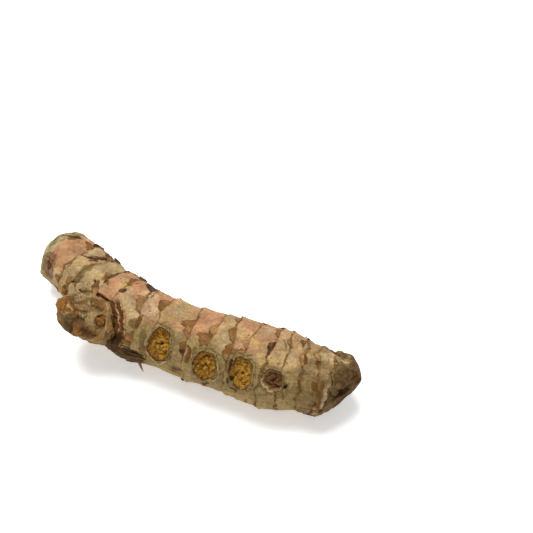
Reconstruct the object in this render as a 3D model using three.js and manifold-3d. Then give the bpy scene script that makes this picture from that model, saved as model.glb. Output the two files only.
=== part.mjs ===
// A fresh turmeric finger: one curved rhizome with ring-shaped leaf scars, the round scars of
// broken side shoots, one stubby side knob with a small bud beside it, and a broken end.
// Millimetres, +Z up. The root lies on the plane z = 0 and its origin is in the middle of its
// bounding box, on that plane. +X runs from the rounded growing tip to the broken end, and -Y
// is the side with the knob.
import * as THREE from "three";
import { mergeVertices } from "three/addons/utils/BufferGeometryUtils.js";
import Module from "manifold-3d";

// Driving dimensions.

// The centreline, from the growing tip to the broken end.
const CENTRELINE = [
  [-49.61, 11.17, 8.2],
  [-39.51, 7.67, 8.3],
  [-28.51, 3.17, 8.7],
  [-19.41, -1.03, 9.2],
  [-10.71, -3.13, 9.5],
  [4.39, -2.83, 9.3],
  [21.39, -2.03, 9.9],
  [32.39, -1.03, 9.7],
  [41.39, 0.77, 9.0],
  [50.39, 4.17, 8.7],
];

// The radius of the root at distances along the centreline.
const GIRTH = [
  [0, 8.0],
  [12, 8.3],
  [22, 8.4],
  [34, 9.7],
  [41, 9.8],
  [49, 9.4],
  [62, 9.8],
  [74, 10.3],
  [81, 10.5],
  [90, 8.9],
  [98, 8.2],
  [110, 7.6],
];
const FLATTENING = 0.025; // share by which the section is wider than it is tall
const SWELL = 0.2; // how far the surface swells and sinks along the root

// The growing tip: how far back it starts to round over, and how far and in which direction its
// last point lies off the centreline.
const TIP_DOME = 5.4;
const TIP_OFFSET = 0.9;
const TIP_DIRECTION = 138;

// The broken end: where it starts to close, how far and in which direction its last point lies
// off the centreline, and the height of the lumps on it.
const END_DOME = 9.5;
const END_OFFSET = 1.4;
const END_DIRECTION = 138;
const END_LUMPS = 0.35;

// Leaf-scar rings: distance along the centreline, how far the ring leans forward, the direction
// it leans in (0 faces the knob side, 90 faces up), and the height of its ledge.
const RINGS = [
  [4.0, 0.4, 90, 0.3],
  [13.4, 0.9, 80, 0.35],
  [19.8, 1.6, 150, 0.5],
  [28.9, 1.0, 20, 0.4],
  [34.0, 1.4, 30, 0.35],
  [41.0, 2.4, 50, 0.45],
  [47.8, 0.6, 140, 0.35],
  [57.2, 1.4, 20, 0.45],
  [64.0, 0.6, 80, 0.3],
  [69.0, 1.4, 30, 0.45],
  [74.0, 0.5, 130, 0.25],
  [79.4, 0.5, 120, 0.4],
  [83.3, 0.8, 30, 0.25],
  [88.0, 0.9, -40, 0.35],
  [92.3, 0.9, -40, 0.35],
  [95.5, 1.2, 138, 0.3],
  [98.6, 2.2, 138, 0.2],
];
const TEETH = 0.5; // how raggedly a ring wanders, at most about this far
const LEDGE_FADE = 2.6; // how far the raised side of a ledge takes to fade
const GROOVE_DEPTH = 0.3; // the groove on its low side, as a share of its height
const GROOVE_FADE = 0.7;

// Scars of broken side shoots: distance, direction, half-size along and around the root, the
// height of the corky rim, and the depth of the flesh inside it.
const SCARS = [
  [50.8, 35, 3.0, 4.6, 0.7, 0.8],
  [64.7, 27, 3.2, 4.3, 0.6, 0.7],
  [74.7, 34, 3.0, 4.1, 0.6, 0.7],
  [82.5, 38, 2.5, 3.0, 0.35, 0.6],
  [37.5, 203, 2.6, 3.3, 0.6, 0.4],
  [60.5, 192, 3.0, 3.8, 0.6, 0.7],
  [79.0, 207, 2.2, 2.6, 0.5, -0.7],
];
const MOUND = 0.4; // the part of the rim's height that rises slowly, out to MOUND_EDGE
const MOUND_EDGE = 1.9; // in half-sizes of the scar
const RIM_WIDTH = 0.2;
const FLESH_EDGE = 0.3; // how wide the slope is that goes down to the flesh
const FLESH_PITS = 0.14; // how uneven the flesh is
const HOLLOW_SHARE = 0.97; // the hollow that a scar lies in, as a share of its size
const HOLLOW_REACH = 2.2; // how deep the hollow goes, and how far over the surface it starts
const HOLLOW_EDGE = 0.91; // its reach at its edge, as a share of that in its middle
const FOOT_SHARE = 1.3; // the foot of a scar under the skin, as a share of its size
const FOOT_DEPTH = 2.6;
const FOOT_TIP = 0.4; // how much deeper the middle of the foot is
const TUCKED_IN = 0.3; // how far the outer row of a scar lies under the skin

// The side knob: where it grows from, as a distance, a direction and a depth from the
// centreline, the direction it grows in, and how far it leans back to the growing tip.
const KNOB_ROOT = [33.4, 15, 7];
const KNOB_DIRECTION = 38;
const KNOB_LEAN = 24;
// Its profile, as distance out from where it grows and radius, and its width along the root and
// its height as shares of that radius.
const KNOB_PROFILE = [
  [-3.0, 6.4],
  [1.8, 6.9],
  [2.9, 7.0],
  [3.2, 6.5],
  [5.4, 6.6],
  [5.8, 6.1],
  [8.2, 5.8],
  [10.3, 5.0],
  [12.0, 3.5],
  [12.7, 1.7],
];
const KNOB_WIDTH = 1.18;
const KNOB_HEIGHT = 0.94;
const KNOB_BUD = [6.3, 2.2, 4.4, 1.5]; // sideways, upwards and out along the knob, and radius

// The small bud beside the knob: distance, direction, how far it stands out, and its radius.
const BUD = [19.8, 24, 0.9, 2.3];

const BELOW = [200, 20]; // width and depth of the space that the plane is the top of

// How finely the surfaces are divided.
const COLUMNS = 42;
const ROW_STEP = 2.4;
const RING_EDGE = 0.16; // the rows that form a ledge lie this far to each side of its ring
const SMALLEST_STEP = 0.1;
const DOME_ROWS = [0.05, 0.13, 0.25, 0.4, 0.58, 0.78];
const SCAR_ROWS = [1.55, 1.36, 1.18, 1.04, 0.9, 0.76, 0.58, 0.38, 0.18];
const SCAR_COLUMNS = 18;
const KNOB_COLUMNS = 26;
const BUD_SEGMENTS = 12;

const degrees = (angle) => THREE.MathUtils.degToRad(angle);
const clamp01 = (x) => THREE.MathUtils.clamp(x, 0, 1);
const smooth = (x) => clamp01(x) ** 2 * (3 - 2 * clamp01(x));

// The centreline as a smooth curve, with the distance along it.
const curve = new THREE.CatmullRomCurve3(
  CENTRELINE.map((point) => new THREE.Vector3(...point)),
  false,
  "catmullrom",
  0.5,
);
curve.arcLengthDivisions = 2000;
const LENGTH = curve.getLength();

// The centre and the three directions at a distance along the centreline: forward, towards the
// knob side, and up.
function frameAt(distance) {
  const share = clamp01(distance / LENGTH);
  const forward = curve.getTangentAt(share);
  const near = new THREE.Vector3(forward.y, -forward.x, 0).normalize();
  return {
    centre: curve.getPointAt(share),
    forward,
    near,
    up: near.clone().cross(forward),
  };
}

// The direction away from the centreline at an angle: 0 is the knob side, 90 degrees is up.
function outward(frame, angle) {
  const direction = frame.near.clone().multiplyScalar(Math.cos(angle));
  return direction.addScaledVector(frame.up, Math.sin(angle));
}

// A smooth reading of a table of pairs.
function readTable(table, x) {
  const next = table.findIndex((pair) => pair[0] > x);
  if (next < 0) return table[table.length - 1][1];
  if (next === 0) return table[0][1];
  const [a, b] = [table[next - 1], table[next]];
  return a[1] + (b[1] - a[1]) * smooth((x - a[0]) / (b[0] - a[0]));
}

// How far a ring strays from its nominal distance, in the direction given by angle.
function stray(ring, angle) {
  const [at, lean, leanDirection] = RINGS[ring];
  const ragged =
    0.5 * Math.sin(3 * angle + 1.7 * at) +
    0.3 * Math.sin(7 * angle + 2.9 * at) +
    0.2 * Math.sin(12 * angle + 4.3 * at);
  return lean * Math.cos(angle - degrees(leanDirection)) + TEETH * ragged;
}

// The distance along the root of a nominal row, which bends so that rows follow the rings.
function rowDistance(nominal, angle) {
  const next = RINGS.findIndex((ring) => ring[0] > nominal);
  const before = next < 0 ? RINGS.length - 1 : next - 1;
  const start = before < 0 ? 0 : RINGS[before][0];
  const end = next < 0 ? LENGTH : RINGS[next][0];
  const startStray = before < 0 ? 0 : stray(before, angle);
  const endStray = next < 0 ? 0 : stray(next, angle);
  const share = (nominal - start) / (end - start);
  return nominal + startStray * (1 - share) + endStray * share;
}

// The nominal row that passes through a distance along the root.
function nominalAt(distance, angle) {
  let nominal = distance;
  for (let pass = 0; pass < 6; pass++) nominal += distance - rowDistance(nominal, angle);
  return nominal;
}

// The relief of the ledges: each ring is high on its older side and steps down to the younger.
function ledges(nominal) {
  let height = 0;
  for (const [at, , , step] of RINGS) {
    const past = nominal - at;
    if (past >= 0) height += step * Math.exp(-past / LEDGE_FADE);
    else height -= GROOVE_DEPTH * step * Math.exp(past / GROOVE_FADE);
  }
  return height;
}

// The low mounds that the scars sit on.
function mounds(distance, angle, radius) {
  let height = 0;
  for (const [at, direction, along, around, rim] of SCARS) {
    const off = angle - degrees(direction);
    const turn = Math.atan2(Math.sin(off), Math.cos(off));
    const away = Math.hypot((distance - at) / along, (radius * turn) / around);
    height += MOUND * rim * smooth((MOUND_EDGE - away) / (MOUND_EDGE - 1));
  }
  return height;
}

// The point of the surface on a nominal row, in the direction given by angle. It is raised by
// lift.
function surfacePoint(nominal, angle, lift) {
  const distance = rowDistance(nominal, angle);
  const frame = frameAt(distance);
  let radius = readTable(GIRTH, distance) * (1 + FLATTENING * Math.cos(2 * angle));
  radius += SWELL * Math.sin(0.33 * distance + 1.5 * Math.cos(angle + 0.5));
  radius += mounds(distance, angle, radius) + lift;

  const tip = clamp01(nominal / TIP_DOME);
  const end = clamp01((nominal - LENGTH + END_DOME) / END_DOME);
  const cap = Math.sqrt(1 - (1 - tip) ** 2) * (1 - end ** 1.7) ** 0.7;
  radius += ledges(nominal) * smooth(2 * cap);
  const lumps = Math.sin(4 * angle + 9 * end) + 0.7 * Math.sin(7 * angle - 11 * end);
  radius += END_LUMPS * lumps * smooth(3 * end) * smooth(3 - 3 * end);

  const centre = frame.centre;
  centre.addScaledVector(outward(frame, degrees(TIP_DIRECTION)), TIP_OFFSET * smooth(1 - tip));
  centre.addScaledVector(outward(frame, degrees(END_DIRECTION)), END_OFFSET * smooth(end));
  return centre.addScaledVector(outward(frame, angle), radius * cap);
}

// A closed mesh from rows of points around an axis, with a point at each end. Seen from the
// last row, the points of a row go round clockwise.
function closedRows(first, rows, last) {
  const positions = [first, ...rows.flat(), last].flatMap((p) => p.toArray());
  const columns = rows[0].length;
  const faces = [];
  const at = (row, column) => 1 + row * columns + (column % columns);
  const end = 1 + rows.length * columns;
  for (let column = 0; column < columns; column++) {
    faces.push(0, at(0, column), at(0, column + 1));
    for (let row = 0; row + 1 < rows.length; row++) {
      faces.push(at(row, column), at(row + 1, column), at(row, column + 1));
      faces.push(at(row, column + 1), at(row + 1, column), at(row + 1, column + 1));
    }
    faces.push(end, at(rows.length - 1, column + 1), at(rows.length - 1, column));
  }
  const geometry = new THREE.BufferGeometry();
  geometry.setAttribute("position", new THREE.Float32BufferAttribute(positions, 3));
  geometry.setIndex(faces);
  return geometry;
}

// One row of points, made by a function of the angle.
function rowOf(columns, pointAt) {
  return Array.from({ length: columns }, (_, column) => pointAt((2 * Math.PI * column) / columns));
}

// The nominal distances of the rows: close together at both ends and at each ring.
function rowPlan() {
  const plan = [];
  for (const share of DOME_ROWS) {
    plan.push(TIP_DOME * share ** 1.5);
    plan.push(LENGTH - END_DOME * share ** 1.5);
  }
  const edges = RINGS.flatMap(([at]) => [at - GROOVE_FADE, at - RING_EDGE, at + RING_EDGE]);
  const stops = [...edges, TIP_DOME, LENGTH - END_DOME].sort((a, b) => a - b);
  stops.forEach((stop, index) => {
    plan.push(stop);
    const gap = (stops[index + 1] ?? stop) - stop;
    const parts = Math.ceil(gap / ROW_STEP);
    for (let part = 1; part < parts; part++) plan.push(stop + (gap * part) / parts);
  });
  plan.sort((a, b) => a - b);
  return plan.filter((at, index) => index === 0 || at - plan[index - 1] > SMALLEST_STEP);
}

function rootBody() {
  const rows = rowPlan().map((nominal) =>
    rowOf(COLUMNS, (angle) => surfacePoint(nominal, angle, 0)),
  );
  return closedRows(surfacePoint(0, 0, 0), rows, surfacePoint(LENGTH, 0, 0));
}

// How high the surface of a scar lies over the root around it, at a distance from its middle in
// half-sizes of the scar.
function scarRelief([at, , , , rim, depth], away, turn) {
  const edge = (1 - MOUND) * rim * Math.exp(-(((away - 1) / RIM_WIDTH) ** 2));
  const inside = smooth((1 - away) / FLESH_EDGE);
  const pits = Math.sin(5 * turn + 8 * away + at) + Math.sin(3 * turn - 13 * away);
  return edge * (1 + 0.3 * Math.sin(3 * turn + at)) - inside * (depth + MOUND * rim)
    + inside * FLESH_PITS * pits * smooth(3 * away);
}

// The point at a place in a scar: its distance from the middle in half-sizes, and the turn
// around the middle.
function scarPoint([at, direction, along, around], away, turn, lift) {
  const wavy = away * (1 + 0.06 * Math.sin(2 * turn + at) + 0.04 * Math.sin(5 * turn));
  const distance = at + wavy * along * Math.cos(turn);
  const across = wavy * around * Math.sin(turn);
  const angle = degrees(direction) - across / readTable(GIRTH, distance);
  return surfacePoint(nominalAt(distance, angle), angle, lift);
}

// What a scar takes out of the root.
function scarHollow(scar) {
  const ends = [-HOLLOW_REACH, HOLLOW_REACH];
  const [bottom, top] = ends.map((lift) => scarPoint(scar, 0, 0, lift));
  const rows = ends.map((lift) =>
    rowOf(SCAR_COLUMNS, (turn) => scarPoint(scar, HOLLOW_SHARE, turn, HOLLOW_EDGE * lift)),
  );
  return closedRows(bottom, rows, top);
}

// The rim and the flesh that fill the hollow. The outer row lies under the skin.
function scarFilling(scar) {
  const rows = SCAR_ROWS.map((away, index) =>
    rowOf(SCAR_COLUMNS, (turn) =>
      scarPoint(scar, away, turn, index === 0 ? -TUCKED_IN : scarRelief(scar, away, turn)),
    ),
  );
  const foot = rowOf(SCAR_COLUMNS, (turn) => scarPoint(scar, FOOT_SHARE, turn, -FOOT_DEPTH));
  const footTip = scarPoint(scar, 0, 0, -FOOT_DEPTH - FOOT_TIP);
  const middle = scarPoint(scar, 0, 0, scarRelief(scar, 0, 0));
  return closedRows(footTip, [foot, ...rows], middle);
}

// The knob's own directions: out along it, sideways towards the broken end, and upwards.
function knobFrame() {
  const [at, direction, depth] = KNOB_ROOT;
  const frame = frameAt(at);
  const centre = frame.centre.clone();
  centre.addScaledVector(outward(frame, degrees(direction)), depth);
  const straight = outward(frame, degrees(KNOB_DIRECTION));
  const lean = degrees(KNOB_LEAN);
  const out = straight.clone().multiplyScalar(Math.cos(lean));
  out.addScaledVector(frame.forward, -Math.sin(lean));
  const side = frame.forward.clone().multiplyScalar(Math.cos(lean));
  side.addScaledVector(straight, Math.sin(lean));
  return { centre, out, side, rise: out.clone().cross(side) };
}

function knobPoint(frame, side, rise, out) {
  return frame.centre
    .clone()
    .addScaledVector(frame.side, side)
    .addScaledVector(frame.rise, rise)
    .addScaledVector(frame.out, out);
}

// The knob, from its end to where it joins the root. Its side is lobed and its rings are wavy.
function knob() {
  const frame = knobFrame();
  const rows = KNOB_PROFILE.map(([out, radius]) =>
    rowOf(KNOB_COLUMNS, (angle) => {
      const lobes = 0.05 * Math.cos(2 * angle + 0.6) + 0.04 * Math.cos(5 * angle + 0.3 * out);
      const side = radius * KNOB_WIDTH * (1 + lobes) * Math.cos(angle);
      const rise = radius * KNOB_HEIGHT * (1 + lobes) * Math.sin(angle);
      return knobPoint(frame, side, rise, out + 0.35 * Math.cos(3 * angle + 0.4 * out));
    }),
  );
  const [root, end] = [KNOB_PROFILE[0][0] - 1, KNOB_PROFILE[KNOB_PROFILE.length - 1][0]];
  return closedRows(knobPoint(frame, 0, 0, end), rows.reverse(), knobPoint(frame, 0, 0, root));
}

function bud(centre, radius) {
  const geometry = new THREE.SphereGeometry(radius, BUD_SEGMENTS, BUD_SEGMENTS / 2);
  return geometry.translate(centre.x, centre.y, centre.z);
}

function buds() {
  const [at, direction, outwards, radius] = BUD;
  const [side, rise, out, knobBudRadius] = KNOB_BUD;
  const beside = surfacePoint(at, degrees(direction), outwards - radius);
  const onKnob = knobPoint(knobFrame(), side, rise, out);
  return [bud(beside, radius), bud(onKnob, knobBudRadius)];
}

const wasm = await Module();
wasm.setup();

function solid(geometry) {
  const bare = new THREE.BufferGeometry();
  bare.setAttribute("position", geometry.getAttribute("position"));
  bare.setIndex(geometry.getIndex());
  const merged = mergeVertices(bare, 1e-4);
  return new wasm.Manifold(
    new wasm.Mesh({
      numProp: 3,
      vertProperties: new Float32Array(merged.getAttribute("position").array),
      triVerts: new Uint32Array(merged.getIndex().array),
    }),
  );
}

function geometryOf(manifold) {
  const mesh = manifold.getMesh();
  const geometry = new THREE.BufferGeometry();
  geometry.setAttribute("position", new THREE.BufferAttribute(mesh.vertProperties, 3));
  geometry.setIndex(new THREE.BufferAttribute(mesh.triVerts, 1));
  return geometry;
}

// The space under the plane that the root lies on, which flattens its lowest spots.
function spaceBelow() {
  const [width, depth] = BELOW;
  return new THREE.BoxGeometry(width, width, depth).translate(0, 0, -depth / 2);
}

function turmericRoot() {
  let root = solid(rootBody());
  for (const scar of SCARS) {
    root = root.subtract(solid(scarHollow(scar))).add(solid(scarFilling(scar)));
  }
  root = root.add(solid(knob()));
  for (const small of buds()) root = root.add(solid(small));
  root = root.subtract(solid(spaceBelow()));
  const geometry = geometryOf(root);
  geometry.computeVertexNormals();
  const skin = new THREE.MeshStandardMaterial({
    color: 0xb08a5e,
    roughness: 0.82,
    metalness: 0,
  });
  const mesh = new THREE.Mesh(geometry, skin);
  mesh.name = "turmeric_root";
  return mesh;
}

const part = new THREE.Group();
part.add(turmericRoot());

export default part;
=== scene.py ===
# %% [markdown]
# # A fresh turmeric finger
# A turmeric finger is a rhizome, a stem that grows under the ground. Leaf scars ring it, round
# scars show where side shoots were broken off, and the root in the photograph has one stubby
# knob near its growing tip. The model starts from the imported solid, which fixes the place, the
# size and the directions. Everything below is in the same frame, and only the surface is new.

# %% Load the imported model
import itertools
import math

import bpy
import numpy as np
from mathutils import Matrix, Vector


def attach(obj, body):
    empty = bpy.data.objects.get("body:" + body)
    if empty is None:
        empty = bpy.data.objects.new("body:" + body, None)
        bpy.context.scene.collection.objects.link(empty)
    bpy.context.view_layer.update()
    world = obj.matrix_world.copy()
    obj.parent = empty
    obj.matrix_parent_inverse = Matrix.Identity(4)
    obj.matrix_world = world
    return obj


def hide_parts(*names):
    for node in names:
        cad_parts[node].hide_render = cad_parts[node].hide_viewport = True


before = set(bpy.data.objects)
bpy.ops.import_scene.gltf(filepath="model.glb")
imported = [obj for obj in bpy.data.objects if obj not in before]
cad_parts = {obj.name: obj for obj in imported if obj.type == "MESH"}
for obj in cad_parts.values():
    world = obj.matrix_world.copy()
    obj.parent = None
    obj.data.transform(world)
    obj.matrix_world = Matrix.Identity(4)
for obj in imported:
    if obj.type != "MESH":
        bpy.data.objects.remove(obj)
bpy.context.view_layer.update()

# %% [markdown]
# ## Camera
# The root is about 108 mm long and was photographed from above and in front, a little from the
# right, with a lens that hardly distorts. A camera that looks at a fixed target from an azimuth
# and a height angle is easy to fit: two angles, a distance and a target. That's why its
# place is worked out from these numbers, and not typed in as a position.

# %% Place the camera
CAMERA_AZIMUTH = 25.4
CAMERA_HEIGHT = 48.0
CAMERA_DISTANCE = 0.312
CAMERA_TARGET = Vector((0.0066, 0.03835, 0.0))
CAMERA_LENS = 70.0
CAMERA_SENSOR = 36.0


def add_camera():
    """A camera that looks at the target from the two angles."""
    azimuth = math.radians(CAMERA_AZIMUTH)
    height = math.radians(CAMERA_HEIGHT)
    back = Vector((
        math.sin(azimuth) * math.cos(height),
        -math.cos(azimuth) * math.cos(height),
        math.sin(height),
    ))
    camera = bpy.data.objects.new("camera", bpy.data.cameras.new("camera"))
    camera.data.lens = CAMERA_LENS
    camera.data.sensor_width = CAMERA_SENSOR
    camera.data.clip_start = 0.01
    camera.location = CAMERA_TARGET + back * CAMERA_DISTANCE
    camera.rotation_euler = (math.pi / 2 - height, 0.0, azimuth)
    bpy.context.collection.objects.link(camera)
    return camera


bpy.context.scene.camera = add_camera()
print("camera at", [round(c, 4) for c in bpy.context.scene.camera.location])

# %% [markdown]
# ## Floor and light
# The photograph has a plain white ground and very soft light, strongest from above, so that the
# top of the root is bright and its lower side is dull. A wide area light over the root and a
# pale world give that. The Standard view keeps the plain colours of the materials, where the
# default one would make them greyer.

# %% Floor, lamp and world
FLOOR_TONE = 0.9
FLOOR_GLOW = 0.4
LAMP_PLACE = (-0.25, 0.2, 1.08)
LAMP_SIZE = 0.6
LAMP_POWER = 13.8
WORLD_STRENGTH = 0.44


def plain_material(name, tone, roughness, glow):
    """A plain pale finish, with a faint glow like a light table."""
    material = bpy.data.materials.new(name)
    material.use_nodes = True
    shader = material.node_tree.nodes["Principled BSDF"]
    shader.inputs["Base Color"].default_value = (tone, tone, tone, 1.0)
    shader.inputs["Roughness"].default_value = roughness
    shader.inputs["Emission Color"].default_value = (1.0, 1.0, 1.0, 1.0)
    shader.inputs["Emission Strength"].default_value = glow
    return material


def add_floor():
    """A large plain floor under the root."""
    mesh = bpy.data.meshes.new("floor")
    half = 3.0
    corners = [(-half, -half, 0.0), (half, -half, 0.0), (half, half, 0.0), (-half, half, 0.0)]
    mesh.from_pydata(corners, [], [(0, 1, 2, 3)])
    mesh.materials.append(plain_material("plain_floor", FLOOR_TONE, 0.6, FLOOR_GLOW))
    floor = bpy.data.objects.new("floor", mesh)
    bpy.context.collection.objects.link(floor)
    return floor


def add_lamp(name, place, size, power):
    """A square area light that points at the middle of the root."""
    light = bpy.data.lights.new(name, "AREA")
    light.size = size
    light.energy = power
    lamp = bpy.data.objects.new(name, light)
    lamp.location = place
    lamp.rotation_euler = (-Vector(place)).to_track_quat("-Z", "Y").to_euler()
    bpy.context.collection.objects.link(lamp)
    return lamp


add_floor()
add_lamp("soft_lamp", LAMP_PLACE, LAMP_SIZE, LAMP_POWER)
world = bpy.data.worlds.new("pale_world")
world.use_nodes = True
sky = world.node_tree.nodes["Background"]
sky.inputs["Color"].default_value = (1.0, 1.0, 1.0, 1.0)
sky.inputs["Strength"].default_value = WORLD_STRENGTH
bpy.context.scene.world = world
bpy.context.scene.view_settings.view_transform = "Standard"
print("lamp", LAMP_POWER, "W, world", WORLD_STRENGTH)

# %% [markdown]
# ## The centreline
# The finger bends gently, first one way and then the other. A smooth curve through ten points
# is its centreline, in millimetres. Every place on the root is then given by two numbers: how
# far along the centreline it is, and in which direction it faces. Direction 0 is level, on the
# side of the knob, and 90 degrees is straight up. The curve is the one that the solid has.

# %% A smooth curve through the points
CENTRELINE = np.array([
    [-49.61, 11.17, 8.2],
    [-39.51, 7.67, 8.3],
    [-28.51, 3.17, 8.7],
    [-19.41, -1.03, 9.2],
    [-10.71, -3.13, 9.5],
    [4.39, -2.83, 9.3],
    [21.39, -2.03, 9.9],
    [32.39, -1.03, 9.7],
    [41.39, 0.77, 9.0],
    [50.39, 4.17, 8.7],
])


def smooth(x):
    """Rises gently from 0 to 1."""
    x = np.clip(x, 0.0, 1.0)
    return x * x * (3.0 - 2.0 * x)


def curve_through(points, steps):
    """Many points on the smooth curve through a few."""
    first = 2 * points[0] - points[1]
    last = 2 * points[-1] - points[-2]
    padded = np.vstack([first, points, last])
    t = np.linspace(0.0, 1.0, steps, endpoint=False)[:, None]
    stretches = []
    for index in range(len(points) - 1):
        p0, p1, p2, p3 = padded[index:index + 4]
        leaving = (p2 - p0) / 2
        arriving = (p3 - p1) / 2
        square = 3 * (p2 - p1) - 2 * leaving - arriving
        cube = 2 * (p1 - p2) + leaving + arriving
        stretches.append(p1 + leaving * t + square * t**2 + cube * t**3)
    return np.vstack([*stretches, points[-1:]])


curve_points = curve_through(CENTRELINE, 400)
curve_steps = np.linalg.norm(np.diff(curve_points, axis=0), axis=1)
curve_walked = np.concatenate([[0.0], np.cumsum(curve_steps)])
curve_heading = np.gradient(curve_points, curve_walked, axis=0)
LENGTH = curve_walked[-1]
print("centreline", round(LENGTH, 2), "mm long")


# %% Directions around the centreline
def read_curve(table, distance):
    """The values of a table along the curve, at these distances."""
    return np.stack([np.interp(distance, curve_walked, table[:, k]) for k in range(3)], axis=-1)


def unit(vectors):
    """The same directions, one long."""
    return vectors / np.linalg.norm(vectors, axis=-1, keepdims=True)


def frame_at(distance):
    """The centre, and the directions forward, towards the knob side, and up."""
    forward = unit(read_curve(curve_heading, distance))
    flat = np.stack([forward[..., 1], -forward[..., 0], 0 * forward[..., 0]], axis=-1)
    near = unit(flat)
    return read_curve(curve_points, distance), forward, near, np.cross(near, forward)


def outward(near, up, angle):
    """The direction away from the centreline at an angle."""
    angle = np.asarray(angle)
    return near * np.cos(angle)[..., None] + up * np.sin(angle)[..., None]


# %% [markdown]
# ## A noise of our own
# Skin, torn edges and broken flesh are uneven at several sizes at once. Blender's noise is for
# materials, and the mesh needs the same kind of unevenness in its points, so here is a small
# noise: random values on a grid, blended smoothly in between. The seed is fixed, and each run
# gives the same root. Places are given along and around the root, so the noise has no seam.

# %% Blended random values
NOISE_CELLS = 48
noise_table = np.random.default_rng(11).uniform(-1.0, 1.0, (NOISE_CELLS,) * 3)


def cloud(place, size, seed=0):
    """A soft noise from -1 to 1 whose lumps are about size across."""
    scaled = place / size + np.array([3.7, 8.1, 5.9]) * seed + 400.5
    low = np.floor(scaled).astype(int)
    share = smooth(scaled - low)
    total = np.zeros(place.shape[:-1])
    for corner in itertools.product((0, 1), repeat=3):
        picked = np.where(np.array(corner) == 1, share, 1 - share)
        i, j, k = np.moveaxis((low + corner) % NOISE_CELLS, -1, 0)
        total += picked.prod(axis=-1) * noise_table[i, j, k]
    return total


def rough_cloud(place, size, seed=0):
    """Three sizes of the noise on top of each other."""
    total = cloud(place, size, seed) + 0.5 * cloud(place, size / 2.1, seed + 1)
    return total + 0.25 * cloud(place, size / 4.3, seed + 2)


def creases(place, size, seed=0):
    """0 nearly everywhere, up to 1 along thin winding lines."""
    return np.clip(1 - 4 * np.abs(cloud(place, size, seed)), 0.0, 1.0)


# %% [markdown]
# ## The rings
# Each leaf left a ring when it withered. A ring isn't a neat circle: it leans, wanders and is
# torn. The rows of the mesh bend so that each ring lies on a row, which keeps the small ledge
# at a ring sharp. The numbers of each ring are those of the solid, and the fine wandering is
# added here.

# %% Where the rings are
# Distance, how far the ring leans in mm, the direction that it leans to, and its ledge in mm.
RINGS = np.array([
    [4.0, 0.4, 90, 0.3],
    [13.4, 0.9, 80, 0.35],
    [19.8, 1.6, 150, 0.5],
    [28.9, 1.0, 20, 0.4],
    [34.0, 1.4, 30, 0.35],
    [41.0, 2.4, 50, 0.45],
    [47.8, 0.6, 140, 0.35],
    [57.2, 1.4, 20, 0.45],
    [64.0, 0.6, 80, 0.3],
    [69.0, 1.4, 30, 0.45],
    [74.0, 0.5, 130, 0.25],
    [79.4, 0.5, 120, 0.4],
    [83.3, 0.8, 30, 0.25],
    [88.0, 0.9, -40, 0.35],
    [92.3, 0.9, -40, 0.35],
    [95.5, 1.2, 138, 0.3],
    [98.6, 2.2, 138, 0.2],
])
ring_at = RINGS[:, 0]
TEETH = 0.5
FINE_TEETH = 0.32
TYPICAL_RADIUS = 9.0
RING_SPACING = 37.0


def ring_place(ring, angle, radius=TYPICAL_RADIUS):
    """A place for the noise that goes round with the ring, far from that of the next ring."""
    across = radius * np.cos(angle)
    return np.stack([RING_SPACING * ring + 0 * across, across, radius * np.sin(angle)], axis=-1)


def stray(ring, angle):
    """How far a ring lies from its nominal distance, in one direction."""
    at, lean, toward = RINGS[ring, 0], RINGS[ring, 1], np.radians(RINGS[ring, 2])
    ragged = 0.5 * np.sin(3 * angle + 1.7 * at) + 0.3 * np.sin(7 * angle + 2.9 * at)
    ragged = ragged + 0.2 * np.sin(12 * angle + 4.3 * at)
    fine = rough_cloud(ring_place(ring, angle), 1.5, 3)
    return lean * np.cos(angle - toward) + TEETH * ragged + FINE_TEETH * fine


def row_distance(nominal, angle):
    """The distance along the root of a nominal row, which bends with the rings beside it."""
    following = np.searchsorted(ring_at, nominal, side="right")
    last = len(RINGS) - 1
    low = np.clip(following - 1, 0, last)
    high = np.clip(following, 0, last)
    start = np.where(following > 0, ring_at[low], 0.0)
    end = np.where(following <= last, ring_at[high], LENGTH)
    start_stray = np.where(following > 0, stray(low, angle), 0.0)
    end_stray = np.where(following <= last, stray(high, angle), 0.0)
    share = (nominal - start) / (end - start)
    return nominal + start_stray * (1 - share) + end_stray * share


def nominal_at(distance, angle):
    """The nominal row that passes through a distance."""
    nominal = np.array(distance, dtype=float)
    for _ in range(6):
        nominal = nominal + distance - row_distance(nominal, angle)
    return nominal


print(len(RINGS), "rings")

# %% [markdown]
# ## The surface
# One formula gives the point of the skin on any row in any direction: the girth of the root,
# slow swellings, the ledges of the rings, low mounds under the shoot scars, the rounded growing
# tip and the closed broken end. The same numbers are in the solid, so the skin lies on it. On
# top of that comes relief too fine for the solid: wrinkles, grain and the torn ledges.

# %% Girth, ledges and mounds
# Distance and radius in mm.
GIRTH = np.array([
    [0, 8.0],
    [12, 8.3],
    [22, 8.4],
    [34, 9.7],
    [41, 9.8],
    [49, 9.4],
    [62, 9.8],
    [74, 10.3],
    [81, 10.5],
    [90, 8.9],
    [98, 8.2],
    [110, 7.6],
])
FLATTENING = 0.025
SWELL = 0.2
LEDGE_FADE = 2.6
GROOVE_DEPTH = 0.3
GROOVE_FADE = 0.7
# Distance, direction, half-size along and around, height of the rim and depth, in mm.
SCARS = np.array([
    [50.8, 35, 3.0, 4.6, 0.7, 0.8],
    [64.7, 27, 3.2, 4.3, 0.6, 0.7],
    [74.7, 34, 3.0, 4.1, 0.6, 0.7],
    [82.5, 38, 2.5, 3.0, 0.35, 0.6],
    [37.5, 203, 2.6, 3.3, 0.6, 0.4],
    [60.5, 192, 3.0, 3.8, 0.6, 0.7],
    [79.0, 207, 2.2, 2.6, 0.5, -0.7],
])
MOUND = 0.4
MOUND_EDGE = 1.9
TIP_DOME = 5.4
END_DOME = 9.5


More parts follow.
